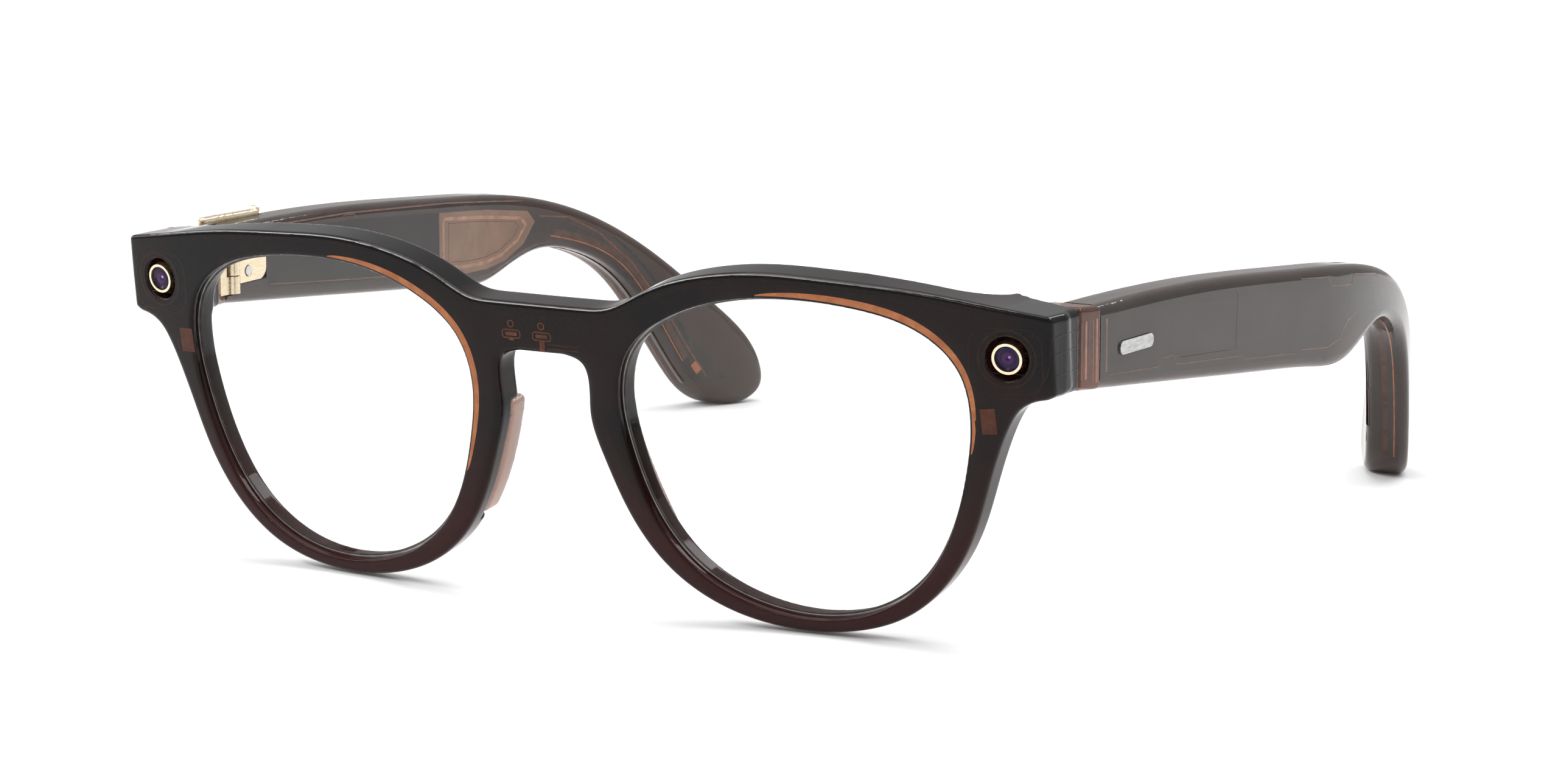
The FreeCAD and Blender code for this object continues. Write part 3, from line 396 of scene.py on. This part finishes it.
def eye_glass(side):
    """Dark coated glass: violet rings round a black middle, and one small painted glint (a painted
    highlight), all in the colour.
    """
    mat, bsdf = shader("coated_glass_" + ("left" if side > 0 else "right"), (0.01, 0.003, 0.02), 0.04,
                       IOR=1.45, Specular_IOR_Level=0.25)
    where = coordinates(mat)
    centre = eye_centre(side)
    tones = []
    # The second ramp, centred a little off the middle, is a painted highlight: a small white glint.
    for offset, stops in (((0, 0, 0), ((0.0, (0.006, 0.001, 0.012)), (0.30, (0.045, 0.006, 0.075)),
                                      (0.50, (0.004, 0.001, 0.010)), (0.72, (0.020, 0.004, 0.060)),
                                      (0.90, (0.002, 0.001, 0.004)))),
                          ((0.25, 0, 0.2), ((0.0, (0.75, 0.72, 0.80)), (0.07, (0.30, 0.22, 0.40)),
                                            (0.13, (0, 0, 0))))):
        reach = node(mat, "ShaderNodeVectorMath", operation="DISTANCE")
        link(mat, where, reach.inputs[0])
        reach.inputs[1].default_value = tuple(centre[i] + offset[i] for i in range(3))
        span = node(mat, "ShaderNodeMath", operation="DIVIDE")
        link(mat, reach.outputs["Value"], span.inputs[0])
        span.inputs[1].default_value = 2.0
        ramp = node(mat, "ShaderNodeValToRGB")
        while len(ramp.color_ramp.elements) < len(stops):
            ramp.color_ramp.elements.new(0.5)
        for element, (place, tone) in zip(ramp.color_ramp.elements, stops):
            element.position, element.color = place, (*tone, 1)
        link(mat, span.outputs[0], ramp.inputs["Fac"])
        tones.append(ramp.outputs["Color"])
    total = node(mat, "ShaderNodeMix", data_type="RGBA", blend_type="ADD")
    total.inputs[0].default_value = 1.0
    link(mat, tones[0], total.inputs[6])
    link(mat, tones[1], total.inputs[7])
    link(mat, total.outputs[2], bsdf.inputs["Base Color"])
    return mat


lens_mat, lens_bsdf = shader("clear_lens", (0.30, 0.31, 0.31), 0.02, alpha=0.03, IOR=1.5)
lens_noise = mottled(lens_mat, lens_bsdf, (0.26, 0.28, 0.27), (0.34, 0.36, 0.35), 0.05)
MAT["glass_left"], MAT["glass_right"], MAT["lens"] = eye_glass(1), eye_glass(-1), lens_mat

LOOKS = {
    "contact_carrier": "copper", "nose_microphone": "steel", "charge_contacts": "gold", "brow_flex": "flex",
    "camera_ring": "gold", "camera_glass": "glass_left", "camera_barrel": "black", "camera_module": "black",
    "light_ring": "gold", "light_glass": "glass_right", "light_pipe": "white", "light_module": "black",
    "lens": "lens", "nose_pad": "pad", "end_block": "block", "front_hinge": "gold", "hinge_pin": "steel",
    "temple_hinge": "gold", "hinge_screws": "steel", "temple_shell": "temple", "inner_cover": "cover",
    "chamber_window": "window", "speaker": "black", "vent_mesh": "steel", "temple_microphone": "steel",
    "tip_core": "core", "inlay": "silver", "battery": "foil", "charging_board": "board", "antenna": "copper",
    "power_switch_housing": "black", "power_switch": "black", "main_board": "board",
    "processor_shield": "steel", "power_coil": "copper", "touch_film": "flex", "capture_button": "gold",
    "button_dome": "steel", "front_shell": "frame", "rear_shell": "frame",
}


def look(name):
    return MAT[LOOKS.get(name) or LOOKS[name.rsplit("_", 1)[0]]]


for name, obj in frame["nodes"].items():
    obj.data.materials.clear()
    obj.data.materials.append(look(name))


# ---------------------------------------------------------------- the front moulding

def make_front():
    step = 0.25
    low, high = np.array([-74.0, -1.5, -26.5]), np.array([74.0, 16.0, 26.5])
    counts = np.ceil((high - low) / step).astype(int)
    xs, ys, zs = (low[i] + step * np.arange(counts[i]) for i in range(3))
    flat_x, flat_z = np.meshgrid(xs, zs, indexing="ij")

    lower = smooth_line(LOWER_EDGE)
    half = [(72.4, 40.0), (72.4, 9.6)] + [tuple(p) for p in lower]
    loop = np.array(half + [(-x, z) for x, z in reversed(half)])
    outer = outside(loop, flat_x, flat_z)
    opening = outside(smooth_line(OPENING, closed=True), np.abs(flat_x), flat_z)
    pad = outside(np.array(PAD), np.abs(flat_x), flat_z)
    top_line = smooth_line(UPPER_EDGE)
    top_z = np.interp(np.abs(xs), top_line[:, 0], top_line[:, 1])
    share = np.clip((np.abs(xs) - 46.0) / 20.0, 0, 1) * math.tan(TILT)

    x = xs[:, None, None]
    y = ys[None, :, None]
    z = zs[None, None, :]
    shape = (len(xs), len(ys), len(zs))
    out3, open3, pad3 = (np.broadcast_to(f[:, None, :], shape) for f in (outer, opening, pad))
    front = np.sqrt(x ** 2 + (y - DOME) ** 2 + z ** 2) - DOME
    rear = DOME - RIM_DEPTH - np.sqrt(x ** 2 + (y - DOME) ** 2 + (z + REAR_DROP) ** 2)
    top = z - top_z[:, None, None] + share[:, None, None] * (y - x ** 2 / (2 * DOME))

    rims = both(out3, rear, 0.9)
    worn_y, worn_z = y * COS - z * SIN, y * SIN + z * COS
    side = np.abs(x)
    wide = HALF_FRONT - DRAFT * np.clip(DRAFT_END - worn_y, 0, DRAFT_END)
    inner = BLOCK_INNER - 7.5 * (1 - np.clip((worn_y - 4.5) / 8.1, 0, 1)) ** 2
    block = both(side - wide, inner - side, 0.3)
    block = both(block, BLOCK_LOW - worn_z, 0.9)
    solid = both(either(rims, block, 0.8), both(top, front, 0.6), 0.9)
    solid = np.maximum(solid, worn_y - BLOCK_BACK)
    solid = both(solid, -open3, 0.4)

    centre_y = DOME - math.sqrt(DOME ** 2 - EYE_X ** 2 - EYE_Z ** 2)
    dx, dy = side - EYE_X, y - centre_y
    along = dx * math.sin(EYE_SPLAY) - dy * math.cos(EYE_SPLAY)
    across = dx * math.cos(EYE_SPLAY) + dy * math.sin(EYE_SPLAY)
    flare = EYE_FLARE * np.clip(along + 1.1, 0, 1.2)
    bore = np.sqrt(across ** 2 + (z - EYE_Z) ** 2) - EYE_HOLE - flare
    hole = np.maximum(bore, -along - EYE_DEPTH)
    solid = both(solid, -hole, 0.3)

    seat = np.maximum(pad3 - PAD_GAP, front + PAD_SEAT)
    solid = np.maximum(solid, -seat)
    obj = field_object("front_moulding", solid, low, step, "front", MAT["frame"], front_matrix())
    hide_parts("front_shell", "rear_shell")
    return obj


moulding = make_front()
softened("pad_left", "nose_pad_left", 0.9, 0.15, MAT["pad"])
softened("pad_right", "nose_pad_right", 0.9, 0.15, MAT["pad"])
blocks = {1: softened("block_left", "end_block_left", 0.35, 0.15, MAT["block"]),
          -1: softened("block_right", "end_block_right", 0.35, 0.15, MAT["block"])}
softened("gold_leaf_left", "temple_hinge_left", 0.16, 0.06, MAT["gold"])
softened("gold_leaf_right", "temple_hinge_right", 0.16, 0.06, MAT["gold"])
softened("gold_button", "capture_button", 0.35, 0.1, MAT["gold"])


# ---------------------------------------------------------------- fine lines and inlaid details

def ribbon(name, line, width, body, mat, lift=0.015, ends=0.0):
    """A thin flat strip along a line of (point, normal) pairs, a little above the surface.

    width may be one number or one per point; the strip is a shallow roof, highest along its middle.
    """
    spots = np.array([p for p, n in line], float)
    normals = np.array([n for p, n in line], float)
    normals /= np.linalg.norm(normals, axis=1, keepdims=True)
    run = np.gradient(spots, axis=0)
    run /= np.linalg.norm(run, axis=1, keepdims=True)
    across = np.cross(run, normals)
    half = (np.full(len(spots), width) if np.isscalar(width) else np.array(width))[:, None] / 2
    verts, faces = [], []
    for offset, high in ((-1, 0.0), (-0.5, 1.0), (0.5, 1.0), (1, 0.0)):
        verts.append(spots + across * half * offset + normals * (lift * (0.2 + 0.8 * high)))
    count = len(spots)
    verts = np.concatenate(verts)
    for row in range(3):
        for i in range(count - 1):
            a, b = row * count + i, (row + 1) * count + i
            faces.append((a, a + 1, b + 1, b))
    return new_object(name, np.clip(verts * MM, cad_box[0], cad_box[1]), faces, body, mat)


def on_face(points, depth=0.0):
    """(x, z) points of the front's own frame, at a depth under its domed face, as row points in mm."""
    turn = front_matrix()
    line = []
    for x, z in points:
        y = depth + DOME - math.sqrt(DOME ** 2 - x ** 2 - z ** 2)
        normal = Vector((x, y - DOME, z)).normalized()
        line.append((turn @ Vector((x, y, z)) / MM, turn.to_3x3() @ normal))
    return line


def straight(points, steps=8):
    """The points with more between them, so that a strip can follow a curved face."""
    out = []
    for (ax, az), (bx, bz) in zip(points, points[1:]):
        out += [(ax + (bx - ax) * i / steps, az + (bz - az) * i / steps) for i in range(steps)]
    return out + [points[-1]]


def round_box(cx, cz, w, h, r, turn=0.0, steps=6):
    """A rounded rectangle's outline, closed."""
    out = []
    for k, (sx, sz) in enumerate(((1, 1), (-1, 1), (-1, -1), (1, -1))):
        for i in range(steps + 1):
            a = math.radians(90 * k + 90 * i / steps)
            x, z = sx * (w / 2 - r) + r * math.cos(a), sz * (h / 2 - r) + r * math.sin(a)
            out.append((cx + x * math.cos(turn) - z * math.sin(turn),
                        cz + x * math.sin(turn) + z * math.cos(turn)))
    return out + [out[0]]


def ring(cx, cz, r, steps=48):
    return [(cx + r * math.cos(2 * math.pi * i / steps), cz + r * math.sin(2 * math.pi * i / steps))
            for i in range(steps + 1)]


def opening_strips():
    """The lighter strip beside each lens opening, a painted glow that stands in for the light showing through
    where the moulding is thin over the groove.
    """
    loop = smooth_line(OPENING, closed=True, steps=12)
    centre = np.array([LENS_MIDDLE, 0.0])
    for side, start, end, name in ((1, 100, 4, "glow_left"), (-1, 96, 196, "glow_right")):
        angles = np.degrees(np.arctan2(loop[:, 1], loop[:, 0] - LENS_MIDDLE)) % 360
        want = np.linspace(start, end, 70)
        order = np.argsort(angles)
        xs = np.interp(want % 360, angles[order], loop[order, 0], period=360)
        zs = np.interp(want % 360, angles[order], loop[order, 1], period=360)
        points = np.stack([xs, zs], axis=1)
        share = np.sin(np.linspace(0, math.pi, 70)) ** 0.6
        width = 0.12 + 0.82 * share
        away = points - centre
        run = np.gradient(points, axis=0)
        normal = np.stack([run[:, 1], -run[:, 0]], axis=1)
        normal /= np.linalg.norm(normal, axis=1, keepdims=True)
        normal *= np.sign((normal * away).sum(axis=1))[:, None]
        points = points + normal * (0.42 + width / 2)[:, None]
        ribbon(name, on_face([(side * x, z) for x, z in points]), width, "front", MAT["glow"])


def front_details():
    for side, tag in ((1, "left"), (-1, "right")):
        x, z = side * EYE_X, EYE_Z
        ribbon("halo_inner_" + tag, on_face(ring(x, z, 3.15)), 0.16, "front", MAT["faint"])
        ribbon("halo_outer_" + tag, on_face(ring(x, z, 3.75)), 0.28, "front", MAT["faint"])
        box = round_box(x - side * 0.2, z - 0.3, 9.6, 8.6, 2.6)
        ribbon("seat_outline_" + tag, on_face(straight(box)), 0.13, "front", MAT["faint"])
    # small windows below the camera and the light
    for x, width, tag in ((63.8, 2.0, "left"), (-62.3, 2.5, "right")):
        ribbon("pane_" + tag, on_face(straight([(x - 0.1, 7.8), (x + 0.1, 4.4)], 4)), width, "front",
               MAT["pane"])
        ribbon("pane_edge_" + tag, on_face(straight([(x - 1.7, 6.2), (x - 1.6, 4.6)], 4)), 0.35, "front",
               MAT["faint"])
    # brackets of the charging contacts, seen through the bridge
    for cx, low in ((-4.2, 12.6), (0.6, 11.4)):
        tag = "a" if cx < 0 else "b"
        for piece, line, width in (
                ("loop", ring(cx, 14.9, 0.45, 20), 0.16),
                ("plate", round_box(cx, 13.5, 2.8, 1.1, 0.4), 0.16),
                ("bar", [(cx - 0.9, 13.5), (cx + 0.9, 13.5)], 0.5),
                ("post", [(cx, 13.0), (cx, low)], 0.8)):
            ribbon("bracket_" + piece + "_" + tag, on_face(straight(line, 3)), width, "front", MAT["bracket"])
    for z, width in ((11.9, 0.16), (12.5, 0.1)):
        ribbon("bridge_line_%d" % (10 * z), on_face(straight([(1.4, z), (6.2, z)])), width, "front",
               MAT["trace_dim"])


def lens_edges():
    """Pale strips that stand in for the highlight where each lens leaves its groove."""
    loop = smooth_line(OPENING, closed=True, steps=12)
    for side, tag in ((1, "left"), (-1, "right")):
        for name, inset, depth, width, mat in (("lens_highlight_line_", 0.10, 1.55, 0.16, "edge"),
                                               ("lens_highlight_band_", 0.32, 1.66, 0.3, "edge_highlight_dim")):
            run = np.gradient(loop, axis=0)
            away = np.stack([run[:, 1], -run[:, 0]], axis=1)
            away /= np.linalg.norm(away, axis=1, keepdims=True)
            away *= np.sign((away * (loop - np.array([LENS_MIDDLE, 0.0]))).sum(axis=1))[:, None]
            points = loop - away * inset
            points = np.vstack([points, points[:1]])
            ribbon(name + tag, on_face([(side * x, z) for x, z in points], depth), width, "front", MAT[mat])


trees = {}


def dropped(obj, starts, direction):
    """Where lines from the starts first meet a piece, as (point, normal) pairs in mm."""
    if obj.name not in trees:
        mesh = obj.data
        corners, faces = [v.co for v in mesh.vertices], [tuple(f.vertices) for f in mesh.polygons]
        trees[obj.name] = BVHTree.FromPolygons(corners, faces)
    line = []
    for start in starts:
        spot, normal, face, reach = trees[obj.name].ray_cast(Vector(start) * MM, Vector(direction))
        if spot is not None:
            line.append((spot / MM, normal if normal.dot(Vector(direction)) < 0 else -normal))
    return line


def brow_line():
    """A pale strip that stands in for the highlight on the edge between the brow's top and face."""
    top_line = smooth_line(UPPER_EDGE)
    turn = front_matrix()
    normal = (turn.to_3x3() @ Vector((0, -1, 1))).normalized()
    xs = np.linspace(-68, 68, 137)
    line = []
    for x in xs:
        z = float(np.interp(abs(x), top_line[:, 0], top_line[:, 1]))
        y = DOME - math.sqrt(DOME ** 2 - x ** 2 - z ** 2)
        spot = turn @ Vector((x, y, z)) / MM
        line += [(p, normal) for p, n in dropped(moulding, [spot + normal * 3], -normal)]
    width = 0.06 + 0.20 * np.sin(np.linspace(0.15, math.pi - 0.15, len(line))) ** 0.5
    ribbon("brow_line", line, width, "front", MAT["brow_edge_highlight"], 0.01)


def end_piece_lines():
    """Edges of the hinge parts, seen through the end pieces and the hinge blocks."""
    for side, tag in ((1, "left"), (-1, "right")):
        inward = (-side, 0, 0)
        block = blocks[side]
        for k, (y, width, mat) in enumerate(((-61.5, 0.25, "trace"), (-60.3, 0.5, "orange"),
                                             (-59.3, 0.16, "trace"), (-58.4, 0.3, "trace"),
                                             (-57.4, 0.55, "orange"))):
            starts = [(side * 80, y, z) for z in np.linspace(33.4, 44.2, 14)]
            line = dropped(block, starts, inward)
            if len(line) > 3:
                ribbon("block_line_%s_%d" % (tag, k), line[1:-1], width, "front", MAT[mat], 0.02)
        for k, (y, top) in enumerate(((-69.6, 42.5), (-67.4, 43.2), (-64.2, 43.6), (-62.8, 43.6))):
            line = dropped(moulding, [(side * 80, y, z) for z in np.linspace(34.6, top, 12)], inward)
            if len(line) > 3:
                ribbon("end_line_%s_%d" % (tag, k), line, 0.14, "front", MAT["faint"], 0.02)
        for k, z in enumerate((35.2, 37.6, 40.4, 42.6)):
            line = dropped(moulding, [(side * 80, y, z) for y in np.linspace(-70.5, -62.6, 10)], inward)
            if len(line) > 3:
                ribbon("end_bar_%s_%d" % (tag, k), line, 0.12, "front", MAT["faint"], 0.02)
        for k, (y, width) in enumerate(((-61.3, 0.35), (-57.2, 0.5))):
            line = dropped(block, [(side * x, y, 60) for x in np.linspace(64.5, 71.6, 12)], (0, 0, -1))
            if len(line) > 3:
                ribbon("block_top_%s_%d" % (tag, k), line, width, "front", MAT["orange"], 0.02)


def on_temple(side, points, outer=True):
    """(length, height) points of a temple on its outer or inner face, as row points in mm."""
    turn = temple_matrix(side)
    line = []
    for s, z in points:
        half = TEMPLE_HALF if outer else -TEMPLE_HALF
        if s <= BEND_START:
            x, y, normal = half, s, Vector((1, 0, 0))
        else:
            a = (s - BEND_START) / BEND_RADIUS
            x = (BEND_RADIUS + half) * math.cos(a) - BEND_RADIUS
            y = BEND_START + (BEND_RADIUS + half) * math.sin(a)
            normal = Vector((math.cos(a), math.sin(a), 0))
        if not outer:
            normal = -normal
        line.append((turn @ Vector((side * x, y, z)) / MM,
                     turn.to_3x3() @ Vector((side * normal.x, normal.y, 0))))
    return line


def temple_lines():
    for side, tag in ((1, "left"), (-1, "right")):
        body = "temple_" + tag
        low = [(2.4, 11.2), (16.0, 10.2), (17.0, 11.2), (20.0, 11.2),
               (21.0, 9.8), (40.0, 8.2), (41.0, 7.6), (56.0, 6.2)]
        ribbon("seam_low_" + tag, on_temple(side, straight(low)), 0.14, body, MAT["trace"])
        ribbon("seam_front_" + tag, on_temple(side, straight([(1.6, 11.6), (1.6, 18.6)])), 0.5, body,
               MAT["trace"])
        panel = [(22.0, 10.6), (38.0, 9.4), (38.4, 16.9), (38.0, 17.3)]
        ribbon("panel_" + tag, on_temple(side, straight(panel)), 0.08, body, MAT["faint"])
        rear = [(57.5, 16.4), (66.0, 15.6), (67.0, 14.2), (74.0, 13.4), (75.0, 14.8), (84.0, 13.6)]
        ribbon("seam_rear_" + tag, on_temple(side, straight(rear)), 0.16, body, MAT["trace"])
        bend = [(58.0, 6.4), (66.0, 5.6), (70.0, 6.2), (73.0, 8.4), (76.0, 9.2)]
        ribbon("seam_bend_" + tag, on_temple(side, straight(bend)), 0.2, body, MAT["trace"])


def window_frames():
    """The nested outlines in the speaker chamber's window on each temple's inner face."""
    frame_line = [(59.3, 14.3), (71.5, 13.1), (81.6, 11.8), (83.0, 10.6), (80.8, 8.4), (76.2, 6.5),
                  (71.8, 5.9), (66.0, 6.0), (59.3, 6.7), (59.3, 14.3)]
    for side, tag in ((1, "left"), (-1, "right")):
        body = "temple_" + tag
        ribbon("window_rim_" + tag, on_temple(side, straight(frame_line), False), 0.55, body, MAT["amber"])
        inner = [(70.0 + (s - 70.0) * 0.86, 9.9 + (z - 9.9) * 0.8) for s, z in frame_line]
        ribbon("window_line_" + tag, on_temple(side, straight(inner), False), 0.14, body, MAT["trace"])
        core = [(86.5, 11.6), (94.0, 10.6), (101.0, 7.4), (108.5, 1.8), (115.5, -6.4),
                (121.5, -15.0), (124.5, -19.0)]
        ribbon("core_edge_" + tag, on_temple(side, straight(core), False), 0.3, body, MAT["trace"])
        band = [(90.0, 8.6), (99.6, 6.0), (107.2, 1.9), (114.0, -6.0), (118.6, -13.0), (120.2, -15.4)]
        ribbon("hook_band_" + tag, on_temple(side, smooth_line(band), False), 1.1, body, MAT["brown"])
        edge = smooth_line([(s - 0.7, z - 0.5) for s, z in band])
        ribbon("hook_edge_" + tag, on_temple(side, edge, False), 0.2, body, MAT["orange"])
        slit = [(104.5, 6.2), (110.5, 1.4), (116.2, -5.4), (120.6, -12.4)]
        ribbon("hook_slit_" + tag, on_temple(side, smooth_line(slit), False),
               0.15 + 0.55 * np.sin(np.linspace(0.3, 2.6, 31)), body, MAT["black"])
        tile = straight([(121.8, -16.4), (123.0, -18.0)], 3)
        ribbon("hook_tile_" + tag, on_temple(side, tile, False), 1.5, body, MAT["orange"])
        low = [(11.0, 10.9), (32.0, 8.7), (57.0, 6.2)]
        ribbon("cover_low_" + tag, on_temple(side, straight(low), False), 0.22, body, MAT["trace"])
        top = [(4.0, 19.7), (32.0, 18.7), (60.0, 16.7), (82.0, 14.5)]
        ribbon("cover_top_" + tag, on_temple(side, straight(top), False), 0.28, body, MAT["trace"])
        marks = [(30.0, 17.9), (31.0, 18.5), (34.0, 18.3), (34.6, 17.6)]
        ribbon("cover_tab_" + tag, on_temple(side, straight(marks), False), 0.16, body, MAT["trace"])
        edge = smooth_line([(94.0, 5.1), (105.0, 0.0), (112.5, -9.2), (118.0, -17.9), (120.6, -21.0)])
        ribbon("hook_front_" + tag, on_edge(side, edge), 1.6, body, MAT["brown"], 0.03)
        ribbon("hook_front_line_" + tag, on_edge(side, edge, 1.05), 0.2, body, MAT["orange"], 0.04)


def on_edge(side, points, shift=0.0):
    """(length, height) points along a temple's narrow lower edge, dropped on its shell."""
    turn = temple_matrix(side)
    shell = frame["nodes"]["temple_shell_left" if side > 0 else "temple_shell_right"]
    run = np.gradient(np.array(points), axis=0)
    run /= np.linalg.norm(run, axis=1, keepdims=True)
    line = []
    for (s, z), (ds, dz) in zip(points, run):
        a = (s - BEND_START) / BEND_RADIUS
        x = (BEND_RADIUS + shift) * math.cos(a) - BEND_RADIUS
        y = BEND_START + (BEND_RADIUS + shift) * math.sin(a)
        normal = turn.to_3x3() @ Vector((side * dz * -math.sin(a), dz * math.cos(a), -ds)).normalized()
        normal.normalize()
        spot = turn @ Vector((side * x, y, z)) / MM
        line += [(p, normal) for p, n in dropped(shell, [spot + normal * 3], -normal)]
    return line


for key, low, high, roughness, specular in (
        # The first is a painted glow: light shining through where the moulding is thin beside each lens
        # opening.
        ("glow", (0.26, 0.085, 0.032), (0.36, 0.13, 0.05), 0.25, 0.2),
        ("faint", (0.011, 0.0045, 0.003), (0.020, 0.008, 0.005), 0.1, 0.15),
        ("pane", (0.046, 0.014, 0.007), (0.075, 0.024, 0.012), 0.2, 0.15),
        ("bracket", (0.060, 0.020, 0.010), (0.11, 0.040, 0.020), 0.25, 0.15),
        ("trace", (0.070, 0.028, 0.015), (0.12, 0.050, 0.028), 0.2, 0.4),
        ("trace_dim", (0.032, 0.011, 0.006), (0.052, 0.020, 0.011), 0.2, 0.15),
        ("brown", (0.036, 0.014, 0.008), (0.060, 0.025, 0.014), 0.15, 0.4),
        ("orange", (0.20, 0.06, 0.022), (0.32, 0.11, 0.045), 0.2, 0.4),
        # The next three are painted highlight colours: light lines along the lens grooves and along the
        # brow's top edge.
        ("edge", (0.22, 0.21, 0.20), (0.34, 0.33, 0.32), 0.15, 0.4),
        ("brow_edge_highlight", (0.09, 0.09, 0.09), (0.14, 0.14, 0.14), 0.15, 0.4),
        ("edge_highlight_dim", (0.050, 0.045, 0.043), (0.085, 0.075, 0.070), 0.15, 0.4),
        ("amber", (0.20, 0.10, 0.055), (0.30, 0.16, 0.10), 0.2, 0.4)):
    MAT[key] = plain("line_" + key, low, high, roughness, 0.6, Specular_IOR_Level=specular)

opening_strips()
front_details()
lens_edges()
brow_line()
end_piece_lines()
temple_lines()
window_frames()


# ---------------------------------------------------------------- stage

def stage():
    size = 3.0
    floor = new_object("floor", [(-size, -size, 0), (size, -size, 0), (size, size, 0), (-size, size, 0)],
                       [(0, 1, 2, 3)], None, None, smooth=False)
    mat, bsdf = shader("floor", (0.86, 0.86, 0.86), 0.6)
    mottled(mat, bsdf, (0.85, 0.85, 0.85), (0.87, 0.87, 0.87), 0.02)
    floor.data.materials.append(mat)

    world = bpy.data.worlds.new("studio")
    bpy.context.scene.world = world
    world.use_nodes = True
    nodes, links = world.node_tree.nodes, world.node_tree.links
    where = nodes.new("ShaderNodeTexCoord")
    split = nodes.new("ShaderNodeSeparateXYZ")
    ramp = nodes.new("ShaderNodeMapRange")
    for key, value in (("From Min", 0.0), ("From Max", 1.0), ("To Min", 0.58), ("To Max", 0.9)):
        ramp.inputs[key].default_value = value
    links.new(where.outputs["Generated"], split.inputs[0])
    links.new(split.outputs["Z"], ramp.inputs["Value"])
    links.new(ramp.outputs["Result"], nodes["Background"].inputs["Strength"])
    nodes["Background"].inputs["Color"].default_value = (1, 1, 1, 1)

    def area(name, place, target, width, height, power):
        light = bpy.data.lights.new(name, "AREA")
        light.shape, light.size, light.size_y, light.energy = "RECTANGLE", width, height, power
        obj = bpy.data.objects.new(name, light)
        obj.location = place
        obj.rotation_euler = (Vector(target) - Vector(place)).to_track_quat("-Z", "Y").to_euler()
        bpy.context.scene.collection.objects.link(obj)

    area("overhead", (0.0, 0.15, 1.1), (0, 0, 0), 1.3, 0.7, 8)
    area("front_strip", (-0.5, -0.7, 0.85), (0, -0.05, 0.03), 1.4, 0.12, 7)
    area("rear_strip", (0.45, 0.75, 0.75), (0.05, 0, 0.03), 0.9, 0.25, 4)
    area("left_panel", (-0.85, -0.15, 0.4), (0, -0.05, 0.03), 0.35, 0.5, 2)


def camera():
    data = bpy.data.cameras.new("camera")
    data.sensor_width, data.lens = 36.0, 104.9
    data.clip_start, data.clip_end = 0.01, 20
    obj = bpy.data.objects.new("camera", data)
    right, up, back = (0.86726, 0.49786, 0.0), (-0.08859, 0.15431, 0.98404), (0.48991, -0.85342, 0.17793)
    spot = (0.32440, (-501.57 + FRONT_Y) * MM, 0.13784)
    rows = [[right[i], up[i], back[i], spot[i]] for i in range(3)] + [[0, 0, 0, 1]]
    obj.matrix_world = Matrix(rows)
    bpy.context.scene.collection.objects.link(obj)
    bpy.context.scene.camera = obj


stage()
camera()
bpy.context.scene.view_settings.view_transform = "Standard"
bpy.context.view_layer.update()
